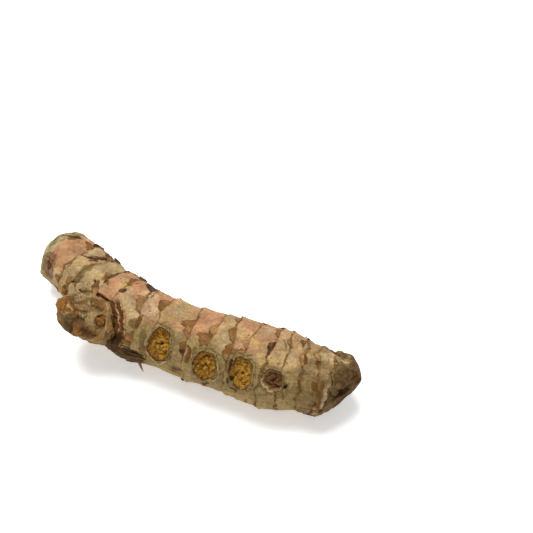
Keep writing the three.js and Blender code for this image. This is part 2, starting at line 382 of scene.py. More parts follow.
def girth_at(distance):
    """The radius of the root at these distances."""
    after = np.clip(np.searchsorted(GIRTH[:, 0], distance, side="right"), 1, len(GIRTH) - 1)
    low = GIRTH[after - 1]
    high = GIRTH[after]
    share = smooth((distance - low[..., 0]) / (high[..., 0] - low[..., 0]))
    return low[..., 1] + (high[..., 1] - low[..., 1]) * share


def cap_places(distance):
    """How far out of the rounded tip and into the broken end a place is, each from 0 to 1."""
    tip = np.clip(distance / TIP_DOME, 0.0, 1.0)
    end = np.clip((distance - LENGTH + END_DOME) / END_DOME, 0.0, 1.0)
    return tip, end


def cap_share(distance):
    """How much of its girth the root has at a distance: 1, and down to 0 at both ends."""
    tip, end = cap_places(distance)
    return np.sqrt(1 - (1 - tip) ** 2) * (1 - end**1.7) ** 0.7


def laid_out(distance, angle):
    """The place along and around the root, in mm, as if the root were straight."""
    radius = girth_at(distance) * cap_share(distance)
    return np.stack([distance, radius * np.cos(angle), radius * np.sin(angle)], axis=-1)


def ledges(nominal, angle):
    """The step at each ring: high on its older side, and a groove on its younger side."""
    height = 0.0 * nominal
    for ring, (at, _, _, step) in enumerate(RINGS):
        past = nominal - at
        worn = 0.95 + 0.55 * cloud(ring_place(ring, angle), 4.0, 9)
        raised = np.exp(-np.maximum(past, 0) / LEDGE_FADE)
        groove = -GROOVE_DEPTH * np.exp(np.minimum(past, 0) / GROOVE_FADE)
        height = height + step * worn * np.where(past >= 0, raised, groove)
    return height


def short_turn(angle):
    """The same turn, between half a turn back and half a turn on."""
    return np.arctan2(np.sin(angle), np.cos(angle))


def scar_away(scar, distance, angle, radius):
    """How far a place is from the middle of a scar, in half-sizes of the scar."""
    at, direction, along, around = scar[:4]
    turn = short_turn(angle - np.radians(direction))
    return np.hypot((distance - at) / along, radius * turn / around)


def mounds(distance, angle, radius):
    """The low mounds that the scars sit on."""
    height = 0.0 * distance
    for scar in SCARS:
        away = scar_away(scar, distance, angle, radius)
        height = height + MOUND * scar[4] * smooth((MOUND_EDGE - away) / (MOUND_EDGE - 1))
    return height


# %% The point of the skin on a row, in a direction
TIP_OFFSET = 0.9
TIP_DIRECTION = math.radians(138)
END_OFFSET = 1.4
END_DIRECTION = math.radians(138)
END_LUMPS = 0.35

# Small hollows: distance, direction, half-size along and around, and depth.
DENTS = [
    (70.3, 38, 0.8, 2.8, 0.9),
    (71.6, 22, 1.2, 0.9, 0.7),
    (84.8, 33, 0.5, 0.9, 0.8),
    (25.5, 70, 0.4, 0.9, 0.35),
    (58.2, 43, 1.0, 1.2, 0.4),
    (6.8, 30, 1.6, 1.0, 0.35),
    (7.4, 12, 1.8, 0.9, 0.35),
    (5.3, 42, 2.2, 0.45, 0.3),
    (4.4, 70, 1.2, 0.5, 0.3),
    (99.0, 30, 2.2, 1.8, 0.6),
    (96.0, 42, 0.6, 2.0, 0.4),
    (101.5, 66, 0.5, 3.0, 0.5),
    (95.0, 104, 0.9, 0.35, 0.35),
    (88.5, 186, 1.0, 2.0, 0.5),
    (28.0, 188, 0.8, 1.6, 0.4),
    (47.0, 230, 1.2, 1.2, 0.4),
]


def blob(spot, distance, angle):
    """How far a place is from the middle of a spot, in half-sizes of the spot."""
    across = girth_at(distance) * short_turn(angle - np.radians(spot[1]))
    return np.hypot((distance - spot[0]) / spot[2], across / spot[3])


def dents(distance, angle):
    """How deep the small hollows are."""
    depth = 0.0 * distance
    for dent in DENTS:
        depth = depth + dent[4] * smooth(1.4 - blob(dent, distance, angle))
    return depth


def peeled(place):
    """A noise that is positive where the outermost skin is still there."""
    return cloud(place * np.array([0.8, 1.0, 1.0]), 2.9, 28) + 0.45 * cloud(place, 1.1, 29)


# Height, size and seed of the unevenness of the skin, in mm.
SKIN_LUMPS = [
    (0.17, 3.1, 21),
    (0.11, 1.5, 22),
    (0.06, 0.75, 30),
    (0.04, 0.52, 34),
]


def skin_relief(nominal, distance, angle):
    """Relief too fine for the solid: swellings, peeled layers, wrinkles and faint rings."""
    place = laid_out(distance, angle)
    stretched = place * np.array([0.25, 1.0, 1.0])
    relief = 0.09 * cloud(stretched, 0.85, 23) + 0.07 * smooth(peeled(place) / 0.12)
    for height, size, seed in SKIN_LUMPS:
        relief = relief + height * cloud(place, size, seed)
    ringed = np.sin(5.5 * nominal + 3.0 * cloud(place, 4.0, 24))
    relief = relief + 0.045 * ringed * smooth(0.5 + 1.5 * cloud(place, 6.0, 25))
    layers = np.sin(6.5 * nominal + 2.5 * cloud(place, 2.5, 37))
    cap_edge = smooth((6.0 - nominal) / 2.0) * smooth((nominal - 2.8) / 1.2)
    relief = relief + 0.13 * layers * cap_edge
    corky = smooth((distance - 92.5) / 4.0)
    corky_relief = 0.36 * rough_cloud(place, 1.9, 26) - 0.4 * creases(place, 3.0, 27)
    corky_relief = corky_relief + 0.1 * cloud(place, 0.8, 35)
    return relief + corky * corky_relief


def surface(nominal, angle, lift=0.0, relief=1.0):
    """The point of the skin on these rows in these directions, raised by lift."""
    distance = row_distance(nominal, angle)
    centre, _, near, up = frame_at(distance)
    radius = girth_at(distance) * (1 + FLATTENING * np.cos(2 * angle))
    radius = radius + SWELL * np.sin(0.33 * distance + 1.5 * np.cos(angle + 0.5))
    radius = radius + mounds(distance, angle, radius) + lift

    tip, end = cap_places(nominal)
    cap = cap_share(nominal)
    radius = radius + ledges(nominal, angle) * smooth(2 * cap)
    lumps = np.sin(4 * angle + 9 * end) + 0.7 * np.sin(7 * angle - 11 * end)
    radius = radius + END_LUMPS * lumps * smooth(3 * end) * smooth(3 - 3 * end)
    fine = relief * skin_relief(nominal, distance, angle) - dents(nominal, angle)
    radius = radius + fine * smooth(2 * cap)

    to_tip = outward(near, up, TIP_DIRECTION + 0 * angle)
    to_end = outward(near, up, END_DIRECTION + 0 * angle)
    centre = centre + to_tip * (TIP_OFFSET * smooth(1 - tip))[..., None]
    centre = centre + to_end * (END_OFFSET * smooth(end))[..., None]
    return centre + outward(near, up, angle) * (radius * cap)[..., None]


# %% [markdown]
# ## From rows of points to a Blender object
# The root, its scars and its knob are all rows of points around an axis. One helper makes the
# faces between the rows and closes both ends. A second one stores a value for each point, such
# as how far the point is from the nearest ring. The materials read these values later, so that
# a mark is painted exactly where the shape has it.

# %% Mesh helpers
MM = 0.001


def turning_grid(rows, columns):
    """Two grids: the given rows, and the directions all the way round."""
    return np.meshgrid(rows, 2 * np.pi * np.arange(columns) / columns, indexing="ij")


def closed_faces(rows, columns):
    """Faces between rows of points that go round, with one point before and after them."""
    column = np.arange(columns)
    after = (column + 1) % columns
    row = np.arange(rows - 1)[:, None] * columns
    quads = np.stack([
        1 + row + column,
        1 + row + columns + column,
        1 + row + columns + after,
        1 + row + after,
    ], axis=-1).reshape(-1, 4)
    last = 1 + rows * columns
    end = 1 + (rows - 1) * columns
    start_fan = np.stack([0 * column, 1 + column, 1 + after], axis=-1)
    end_fan = np.stack([last + 0 * column, end + after, end + column], axis=-1)
    return quads.tolist() + start_fan.tolist() + end_fan.tolist()


def add_piece(name, points, faces, values):
    """An object from points in mm, with a named value or vector for each point."""
    mesh = bpy.data.meshes.new(name)
    mesh.from_pydata((points * MM).tolist(), [], faces)
    for title, amounts in values.items():
        amounts = np.asarray(amounts, dtype=np.float32)
        kind = "FLOAT" if amounts.ndim == 1 else "FLOAT_VECTOR"
        stored = mesh.attributes.new(title, kind, "POINT")
        stored.data.foreach_set("value" if amounts.ndim == 1 else "vector", amounts.ravel())
    mesh.polygons.foreach_set("use_smooth", [True] * len(mesh.polygons))
    mesh.validate()
    piece = bpy.data.objects.new(name, mesh)
    bpy.context.collection.objects.link(piece)
    triangles = sum(len(face) - 2 for face in faces)
    print(f"{name}: {triangles} triangles")
    return piece


def closed_piece(name, grid, first, last, values):
    """A closed object from a grid of points and the two points that close it."""
    rows, columns = grid.shape[:2]
    points = np.vstack([first, grid.reshape(-1, 3), last])
    spread = {}
    for title, amounts in values.items():
        flat = amounts.reshape(rows * columns, -1)
        joined = np.vstack([flat[0], flat, flat[-columns]])
        spread[title] = joined[:, 0] if amounts.ndim == 2 else joined
    return add_piece(name, points, closed_faces(rows, columns), spread)


# %% [markdown]
# ## Drawn lines
# Torn edges, cracks and fibres show as thin dark, brown or pale lines. Each is a short row of
# places on the root, given one by one, with half its width in front. The field of a group of lines
# tells how deep inside the nearest line a place is. The mesh gets a fine groove or welt there
# and the material its colour. Random lines are added on the hidden side.

# %% Listed lines, as nominal distance and direction
DARK_LINES = [
    (0.5, [(4.5, 98), (6.5, 118), (8.0, 125)]),
    (0.25, [(6.0, 50), (6.5, 40), (7.5, 30), (7.5, 20)]),
    (0.2, [(7.5, 50), (8.5, 30)]),
    (0.2, [(6.0, 44), (6.5, 28), (8.0, 15)]),
    (0.42, [(13.5, 90), (16.5, 104), (18.5, 130), (18.5, 152)]),
    (0.3, [(16.0, 112), (17.8, 124), (20.3, 130), (21.0, 142)]),
    (0.32, [(17.0, 128), (18.5, 134)]),
    (0.36, [(16.5, 92), (18.0, 110)]),
    (0.8, [(33.8, 86), (34.6, 96)]),
    (0.22, [(19.0, 35), (22.5, 54)]),
    (0.25, [(21.0, 43), (23.0, 28)]),
    (0.25, [(23.0, 38), (24.5, 38)]),
    (0.2, [(25.0, 50), (24.5, 40)]),
    (0.3, [(25.0, 72), (26.0, 67)]),
    (0.2, [(30.5, 62), (34.5, 64), (35.5, 60)]),
    (0.3, [(37.5, 62), (38.5, 50), (38.5, 35), (37.5, 18)]),
    (0.3, [(37.5, 12), (42.0, 9), (47.5, -7)]),
    (0.35, [(39.5, 5), (47.0, -8)]),
    (0.6, [(41.5, 7), (44.5, 6)]),
    (0.25, [(47.0, 53), (49.5, 63), (51.0, 69), (52.0, 64)]),
    (0.3, [(53.0, 55), (53.5, 49)]),
    (0.25, [(48.5, 5), (51.5, -5)]),
    (0.25, [(63.0, -18), (66.0, 0)]),
    (0.6, [(70.5, 11), (71.0, 31)]),
    (0.3, [(71.5, 4), (75.0, 5)]),
    (0.25, [(76.5, 12), (77.5, 26)]),
    (0.45, [(97.5, 34), (98.5, 31), (100.5, 8)]),
    (0.3, [(96.0, 29), (98.0, 16)]),
    (0.3, [(100.0, 53), (101.5, 73)]),
    (0.3, [(101.5, 21), (102.5, 57)]),
    (0.35, [(103.0, -11), (99.0, -4)]),
]
BROWN_LINES = [
    (0.9, [(15.5, 96), (17.5, 120), (18.5, 131)]),
    (0.4, [(13.5, 100), (13.0, 70), (12.0, 53), (14.0, 38), (14.0, 23), (12.5, 0)]),
    (0.45, [(24.5, 97), (27.5, 102), (27.0, 145), (33.0, 141)]),
    (0.5, [(25.0, 96), (30.0, 82)]),
    (0.3, [(32.5, 109), (34.5, 106), (35.0, 126)]),
    (0.25, [(33.5, 97), (34.5, 105)]),
    (0.45, [(41.5, 133), (42.0, 102)]),
    (0.45, [(57.5, 50), (59.0, 43), (59.0, 25)]),
    (0.4, [(78.0, 89), (79.5, 69)]),
    (0.3, [(81.0, 104), (82.5, 86)]),
    (0.35, [(79.5, 46), (80.0, 25)]),
    (0.35, [(84.5, 31), (85.0, 9)]),
    (0.35, [(57.0, 109), (57.5, 131)]),
    (0.3, [(57.0, 85), (57.5, 103)]),
    (0.4, [(88.5, 125), (89.5, 108), (88.0, 93), (89.0, 78)]),
    (0.4, [(88.5, 66), (88.0, 35), (89.0, -11)]),
    (0.35, [(91.5, 95), (92.5, 87), (93.0, 53)]),
    (0.5, [(92.5, 35), (93.0, 25), (93.5, -2)]),
]
PALE_LINES = [
    (0.3, [(6.0, 55), (5.5, 70), (5.0, 97)]),
    (0.22, [(12.5, 102), (12.5, 70)]),
    (0.2, [(17.0, 80), (18.5, 70), (19.5, 51)]),
    (0.25, [(37.5, 10), (40.0, 3), (42.0, 2)]),
    (0.2, [(60.0, 27), (60.0, 11), (61.5, -4)]),
    (0.35, [(76.0, 62), (78.0, 60)]),
    (0.3, [(94.5, 89), (96.0, 92)]),
    (0.3, [(96.5, 100), (97.5, 94), (98.5, 104)]),
]
# Grooves, most of them along rings. The skin's material darkens them as painted shade.
GROOVES = [
    (0.25, [(4.5, 61), (3.5, 84), (3.0, 99)]),
    (0.2, [(6.0, 67), (5.5, 79)]),
    (0.2, [(46.5, 53), (48.0, 65), (50.0, 73)]),
    (0.25, [(98.0, 62), (99.5, 51), (101.0, 18), (100.5, 5)]),
    (0.3, [(95.0, 79), (95.0, 58), (96.0, 30)]),
]


def random_lines(count, random):
    """Short winding lines on the hidden side, mostly lengthwise or along a ring."""
    lines = []
    for _ in range(count):
        nominal = random.uniform(8.0, 100.0)
        direction = random.uniform(150.0, 325.0)
        along_ring = random.random() < 0.6
        spots = [(nominal, direction)]
        for _ in range(3):
            nominal += random.uniform(-0.5, 0.5) if along_ring else random.uniform(0.5, 1.8)
            direction += random.uniform(6.0, 16.0) if along_ring else random.uniform(-5.0, 5.0)
            spots.append((nominal, direction))
        lines.append((random.uniform(0.2, 0.42), spots))
    return lines


line_random = np.random.default_rng(53)
DARK_LINES += random_lines(26, line_random)
BROWN_LINES += random_lines(26, line_random)
PALE_LINES += random_lines(8, line_random)


# %% How deep inside a line a place is
def line_field(lines, place, lay):
    """How far inside the nearest line each place is in mm, and negative outside."""
    best = np.full(place.shape[:-1], -1.5)
    for half_width, spots in lines:
        first, second = np.array(spots, dtype=float).T
        corners = lay(first, np.radians(second))
        for step in range(len(corners) - 1):
            along = corners[step + 1] - corners[step]
            share = np.clip((place - corners[step]) @ along / (along @ along), 0.0, 1.0)
            gap = np.linalg.norm(place - corners[step] - share[..., None] * along, axis=-1)
            walked = (step + share) / (len(corners) - 1)
            narrow = 0.4 + 0.6 * smooth(4 * np.minimum(walked, 1 - walked))
            best = np.maximum(best, half_width * narrow - gap)
    return best


def inside_line(field, reach=0.25):
    """1 inside a line, and down to 0 at a reach in mm outside it."""
    return smooth((field + reach) / (reach + 0.1))


print(len(DARK_LINES) + len(BROWN_LINES) + len(PALE_LINES) + len(GROOVES), "lines")

# %% [markdown]
# ## The knob's shape
# Near the growing tip a side shoot began to grow and stopped. It is short and stubby, with two
# collars where its own leaves sat and a wrinkled face. It has its own axis, and its profile is
# a table of radii along that axis, as in the solid. It comes before the skin, because the skin
# is torn and folded where the knob broke through.

# %% The knob's axis and profile
KNOB_ROOT = (33.4, 15, 7)
KNOB_DIRECTION = 38
KNOB_LEAN = math.radians(24)
KNOB_PROFILE = np.array([
    [-3.0, 6.4],
    [1.8, 6.9],
    [2.9, 7.0],
    [3.2, 6.5],
    [5.4, 6.6],
    [5.8, 6.1],
    [8.2, 5.8],
    [10.3, 5.0],
    [12.0, 3.5],
    [12.7, 1.7],
])
KNOB_WIDTH = 1.18
KNOB_HEIGHT = 0.94
KNOB_ROWS = 130
KNOB_COLUMNS = 210


def knob_axes():
    """The knob's start and its directions out, sideways and up."""
    centre, forward, near, up = frame_at(np.array(float(KNOB_ROOT[0])))
    start = centre + outward(near, up, math.radians(KNOB_ROOT[1])) * KNOB_ROOT[2]
    straight = outward(near, up, math.radians(KNOB_DIRECTION))
    out = straight * math.cos(KNOB_LEAN) - forward * math.sin(KNOB_LEAN)
    side = forward * math.cos(KNOB_LEAN) + straight * math.sin(KNOB_LEAN)
    return start, out, side, np.cross(out, side)


knob_start, knob_out, knob_side, knob_rise = knob_axes()


def knob_point(side, rise, out):
    """A point given along the knob's own directions."""
    return (
        knob_start
        + knob_side * np.asarray(side)[..., None]
        + knob_rise * np.asarray(rise)[..., None]
        + knob_out * np.asarray(out)[..., None]
    )


# %% Lines and lumps of the knob, as distance out along it and direction round it
KNOB_DARK_LINES = [
    (0.5, [(4.0, 38), (5.0, 34), (5.5, 24), (5.0, 14)]),
    (0.4, [(9.0, 340), (8.5, 350), (4.0, 352)]),
    (0.35, [(8.5, 320), (7.5, 342), (4.5, 350)]),
    (0.3, [(12.0, 205), (12.5, 50), (12.5, 90)]),
    (0.25, [(12.0, 32), (10.0, 44)]),
    (0.2, [(10.0, 32), (10.0, 22)]),
    (0.25, [(5.5, 88), (6.0, 64), (3.5, 52)]),
    (0.22, [(5.5, 72), (4.0, 66)]),
    (0.22, [(5.5, 58), (4.0, 58)]),
    (0.22, [(4.0, 90), (3.5, 66)]),
    (0.3, [(11.0, 6), (11.0, 334), (10.0, 318)]),
    (0.3, [(6.0, 150), (4.0, 170), (2.5, 200)]),
    (0.3, [(8.0, 230), (5.0, 250), (3.0, 240)]),
]
KNOB_PALE_LINES = [
    (0.3, [(12.5, 296), (12.0, 32), (11.0, 42)]),
    (0.3, [(12.0, 84), (11.5, 52), (11.0, 44)]),
    (0.25, [(5.5, 38), (4.0, 46), (2.5, 42)]),
    (0.4, [(10.5, 98), (8.0, 100), (4.5, 98)]),
    (0.4, [(9.0, 30), (8.5, 27)]),
    (0.3, [(2.6, 95), (2.6, 60), (2.6, 20), (2.4, 350)]),
]
# Distance out, direction, size and height in mm.
KNOB_LUMPS = [
    (12.3, 150, 2.6, 0.9),
    (12.2, 60, 1.1, 0.4),
    (11.4, 310, 1.6, -0.25),
    (9.0, 335, 1.4, 0.35),
    (7.0, 30, 2.2, 0.25),
    (4.6, 22, 1.5, -0.3),
    (3.8, 68, 1.8, 0.3),
    (8.2, 100, 1.2, 0.35),
]


def knob_lay(out, angle):
    """The place along and around the knob, in mm, for its lines and noise."""
    radius = np.interp(out, KNOB_PROFILE[:, 0], KNOB_PROFILE[:, 1])
    return np.stack([out, radius * np.cos(angle), radius * np.sin(angle)], axis=-1)


def knob_wrinkled(out, angle):
    """1 on the wrinkled part of the face, 0 elsewhere."""
    return smooth((np.cos(angle - 1.3) - 0.3) / 0.45) * smooth((out - 6.0) / 2.5)


def knob_relief(place, angle):
    """Lumps, wrinkles and folds of the knob."""
    out = place[..., 0]
    face = smooth((out - 6.0) / 2.5)
    relief = (0.16 + 0.14 * face) * rough_cloud(place, 2.0, 51)
    relief = relief - (0.12 + 0.4 * face) * creases(place, 2.6, 53)
    wrinkled = knob_wrinkled(out, angle)
    waves = np.sin(8.0 * out + 3.0 * cloud(place, 2.2, 55) + 2.0 * cloud(place, 0.9, 56))
    relief = relief + (0.03 + 0.14 * wrinkled) * waves
    relief = relief - 0.16 * wrinkled * creases(place, 1.1, 58)
    relief = relief + 0.06 * cloud(place, 0.6, 57)
    for at, toward, size, height in KNOB_LUMPS:
        middle = knob_lay(np.array(float(at)), np.radians(toward))
        gap = np.linalg.norm(place - middle, axis=-1) / size
        relief = relief + height * np.exp(-(gap**2))
    return relief


def knob_lobes(angle, out):
    """How much wider or narrower than a circle the knob is in a direction."""
    return 1 + 0.05 * np.cos(2 * angle + 0.6) + 0.04 * np.cos(5 * angle + 0.3 * out)


def knob_surface(walk, angle):
    """The point of the knob's skin at a share of its profile, in a direction."""
    steps = np.linalg.norm(np.diff(KNOB_PROFILE, axis=0), axis=1)
    lengths = np.concatenate([[0], np.cumsum(steps)])
    out = np.interp(walk * lengths[-1], lengths, KNOB_PROFILE[:, 0])
    radius = np.interp(walk * lengths[-1], lengths, KNOB_PROFILE[:, 1])
    lobes = knob_lobes(angle, out)
    place = np.stack([out, radius * np.cos(angle), radius * np.sin(angle)], axis=-1)
    rise = knob_relief(place, angle)
    rise = rise - 0.2 * inside_line(line_field(KNOB_DARK_LINES, place, knob_lay))
    rise = rise + 0.18 * inside_line(line_field(KNOB_PALE_LINES, place, knob_lay))
    steep = smooth((out - 8.0) / 3.5)
    radius = np.maximum(radius + rise * (1 - steep), 0.3)
    out = out + 0.35 * np.cos(3 * angle + 0.4 * out) + steep * rise
    across = radius * lobes
    return (
        knob_point(across * KNOB_WIDTH * np.cos(angle), across * KNOB_HEIGHT * np.sin(angle), out),
        place,
    )


# %% [markdown]
# ## The skin of the root
# The rows crowd together at each ring, where the ledge is, and spread out in between. Blender
# could do this with a subdivided tube and a displacement, but then the ledges would be cut by
# faces that don't follow them. Inside a shoot scar the skin sinks out of sight, because the
# scar has a mesh of its own there.

# %% Rows that crowd at the rings
BODY_ROWS = 360
BODY_COLUMNS = 250
UNDER_SCAR = 2.2


def crowded_rows():
    """Nominal distances of the rows, closest together at the rings."""
    fine = np.linspace(0.02, LENGTH - 0.02, 20000)
    weight = 1 + 0 * fine
    for at in ring_at:
        weight = weight + 3 * np.exp(-(((fine - at) / 0.35) ** 2))
    near_ends = np.minimum(fine, LENGTH - fine)
    weight = weight + 2.5 * np.exp(-near_ends / 1.2)
    walked = np.cumsum(weight)
    wanted = np.linspace(walked[0], walked[-1], BODY_ROWS)
    return np.interp(wanted, walked, fine)


body_nominal, body_angle = turning_grid(crowded_rows(), BODY_COLUMNS)
body_distance = row_distance(body_nominal, body_angle)
body_laid = laid_out(body_distance, body_angle)
print("body grid", body_nominal.shape)


# %% What each place of the skin is like
def nearest_ring(nominal):
    """How far past the nearest ring each place is, in mm along the rows."""
    gaps = nominal[..., None] - ring_at
    pick = np.abs(gaps).argmin(axis=-1)
    return np.take_along_axis(gaps, pick[..., None], axis=-1)[..., 0]


def nearest_scar(distance, angle):
    """The smallest distance to a scar, in half-sizes of that scar."""
    radius = girth_at(distance)
    return np.min([scar_away(scar, distance, angle, radius) for scar in SCARS], axis=0)


# %% The torn skin round the foot of the knob
FOOT_RADIUS = 6.95
# How far outside the foot each fold lies and its height, in mm.
FOOT_FOLDS = [(0.55, 0.5), (1.5, 0.55), (2.6, 0.4)]


def foot_gap(points):
    """How far outside the foot of the knob each point is, and its direction round the knob."""
    offset = points - knob_start
    side = offset @ knob_side / KNOB_WIDTH
    rise = offset @ knob_rise / KNOB_HEIGHT
    gap = np.hypot(side, rise) - FOOT_RADIUS + 6.0 * smooth((-2.5 - offset @ knob_out) / 2.0)
    return np.clip(gap, -1.0, 6.0), np.arctan2(rise, side)


def fold_share(turn):
    """1 on the side of the foot where the old leaf stands in folds, 0 elsewhere."""
    return smooth((1.35 - np.abs(short_turn(turn - 0.1))) / 0.35)


def foot_lift(gap, turn, place):
    """The height of the folds round the foot."""
    wander = 0.4 * rough_cloud(place, 3.0, 36)
    lift = 0.0 * gap
    for at, height in FOOT_FOLDS:
        lift = lift + height * np.exp(-(((gap + wander - at) / 0.34) ** 2))
    crevice = 0.7 * np.exp(-((gap / 0.3) ** 2))
    return lift * fold_share(turn) - crevice


body_past = nearest_ring(body_nominal)
body_scar = nearest_scar(body_distance, body_angle)
body_gap, body_turn = foot_gap(surface(body_nominal, body_angle, relief=0.0))
body_even = laid_out(body_nominal, body_angle)
body_dark_line = line_field(DARK_LINES, body_even, laid_out)
body_brown_line = line_field(BROWN_LINES, body_even, laid_out)
body_pale_line = line_field(PALE_LINES, body_even, laid_out)
body_groove = line_field(GROOVES, body_even, laid_out)
body_lift = foot_lift(body_gap, body_turn, body_laid)
# The field of each kind of line, its height and how far it reaches past its edge, in mm.
for field, height, reach in (
    (body_dark_line, -0.16, 0.25),
    (body_brown_line, -0.08, 0.2),
    (body_groove, -0.2, 0.25),
    (body_pale_line, 0.14, 0.2),
):
    body_lift = body_lift + height * inside_line(field, reach)
body_lift = body_lift - UNDER_SCAR * smooth((0.98 - body_scar) / 0.14)
body_points = surface(body_nominal, body_angle, body_lift)
body_points[..., 2] = np.maximum(body_points[..., 2], 0.0)
print("lowest point", round(body_points[..., 2].min(), 3), "mm")

# %% [markdown]
# ## Colours along and around the root
# The young end is pink, cream and partly greenish. The lower side is duller and browner, partly in
# its own colour and partly as painted shade.
# Each stretch between two rings has its own tint. These tints are kept as values between 0 and
# 1: how pink, how green and how worn. They blend softly from row to row, and the material mixes
# its colours by them.

# %% Tints of the stretches between rings
STRETCH_TINTS = np.array([
    [0.0, 0.9, 0.1],
    [0.8, 0.2, 0.1],
    [0.25, 0.5, 0.1],
    [0.25, 0.8, 0.3],
    [0.75, 0.2, 0.1],
    [0.9, 0.1, 0.2],
    [0.7, 0.1, 0.0],
    [0.45, 0.3, 0.0],
    [0.9, 0.1, 0.0],
    [0.35, 0.5, 0.0],
    [0.55, 0.2, 0.3],
    [0.55, 0.2, 0.2],
    [0.35, 0.3, 0.0],
    [0.3, 0.3, 0.0],
    [0.25, 0.5, 0.3],
    [0.1, 0.7, 0.5],
    [0.05, 0.7, 0.8],
    [0.0, 0.4, 0.95],
])


def stretch_tint(which, nominal, angle):
    """One of the three tints, blended a little across each ring."""
    distance = row_distance(nominal, angle)
    wandered = nominal + 0.5 * cloud(laid_out(distance, angle), 2.5, 31)
    edges = np.concatenate([[0.0], ring_at, [LENGTH]])
    middles = (edges[:-1] + edges[1:]) / 2
    sharp = np.searchsorted(ring_at, wandered)
    slow = np.interp(wandered, middles, STRETCH_TINTS[:, which])
    return 0.75 * STRETCH_TINTS[sharp, which] + 0.25 * slow


body_pink = stretch_tint(0, body_nominal, body_angle)
body_green = stretch_tint(1, body_nominal, body_angle)
body_worn = stretch_tint(2, body_nominal, body_angle)
# Duller sides away from the top: partly the skin's own olive colour, partly painted shade.
body_dull_and_shade = smooth((np.cos(body_angle + 0.1) - 0.12) / 0.55)
body_dull_and_shade = body_dull_and_shade + 0.6 * smooth((-np.cos(body_angle) - 0.5) / 0.4)
body_dull_and_shade = body_dull_and_shade * (0.35 + 0.65 * smooth((body_distance - 20.0) / 18.0))
print("tints from", STRETCH_TINTS.min(), "to", STRETCH_TINTS.max())

# %% Brown, dark and pale spots
# Distance, direction, half-size along and around in mm.
BROWN_SPOTS = [
    (91.4, 43, 0.85, 1.4),
    (93.3, 45, 0.6, 0.9),
    (88.3, 84, 0.8, 1.7),
    (91.9, 86, 0.9, 1.0),
    (6.6, 112, 0.9, 2.4),
    (41.6, 57, 0.8, 2.0),
    (35.6, 64, 1.6, 0.9),
    (27.2, 62, 1.5, 1.4),
    (58.7, 36, 0.9, 2.6),
    (72.4, 64, 1.6, 0.8),
    (79.7, 50, 0.5, 2.6),
    (26.6, 68, 1.0, 1.4),
    (102.0, 60, 2.2, 4.0),
    (100.0, 120, 1.6, 2.4),
    (13.0, 200, 2.0, 2.6),
    (45.0, 170, 1.5, 2.8),
    (67.0, 222, 2.2, 2.6),
    (90.0, 170, 1.6, 3.0),
]
# Dark spots, most of them over the small hollows: partly dark stains, partly painted shade in the
# hollows.
DARK_SPOTS_AND_HOLLOW_SHADE = [
    (70.3, 38, 0.7, 2.6),
    (71.6, 22, 1.0, 0.8),
    (84.8, 33, 0.45, 0.8),
    (25.5, 70, 0.3, 0.7),
    (58.9, 40, 0.5, 0.7),
    (94.5, -4, 0.9, 1.2),
    (99.6, 22, 1.6, 2.4),
    (95.6, 33, 0.7, 1.0),
    (103.6, 44, 1.5, 4.5),
    (32.0, 150, 2.4, 1.0),
    (19.0, 146, 2.0, 1.0),
    (88.5, 186, 0.9, 1.8),
    (47.0, 230, 1.0, 1.0),
    (28.0, 188, 0.6, 1.4),
]
OLIVE_SPOTS = [
    (96.4, 82, 1.4, 1.6),
    (97.0, 70, 1.5, 1.9),
    (98.2, 78, 1.0, 1.3),
    (19.5, 76, 2.0, 1.8),
    (20.0, 62, 1.7, 2.4),
    (20.5, 50, 1.3, 2.0),
    (40.8, 52, 1.5, 1.6),
    (44.6, 38, 1.6, 2.6),
    (45.4, 20, 1.4, 2.4),
    (27.2, 92, 1.2, 2.0),
    (36.0, 44, 1.0, 2.4),
    (60.4, 44, 1.0, 1.5),
    (71.5, 208, 2.0, 3.4),
    (52.0, 216, 2.4, 2.6),
    (24.0, 176, 2.0, 3.0),
]
BRUISE_SPOTS = [
    (7.0, 33, 3.0, 4.0),
    (8.0, 14, 2.4, 2.4),
    (98.6, 26, 2.0, 2.2),
    (12.0, 214, 2.0, 2.2),
]
PALE_SPOTS = [
    (37.6, 76, 2.6, 2.6),
    (39.6, 66, 1.6, 2.0),
    (95.0, 26, 1.5, 5.0),
    (10.8, 20, 2.8, 3.6),
    (17.0, 66, 1.8, 2.4),
    (51.6, 104, 2.0, 2.4),
    (22.4, 84, 1.8, 2.2),
    (94.6, 104, 2.6, 2.2),
    (66.8, 76, 1.6, 3.0),
    (47.6, 38, 0.9, 2.6),
    (84.0, 78, 2.4, 2.4),
    (55.0, 150, 2.2, 4.0),
    (36.0, 215, 2.4, 3.0),
]


def spot_field(spots, distance, angle):
    """1 in the middle of a spot, 0 at its edge, and less outside."""
    fields = [1 - blob(spot, distance, angle) for spot in spots]
    return np.clip(np.max(fields, axis=0), -1.0, 1.0)


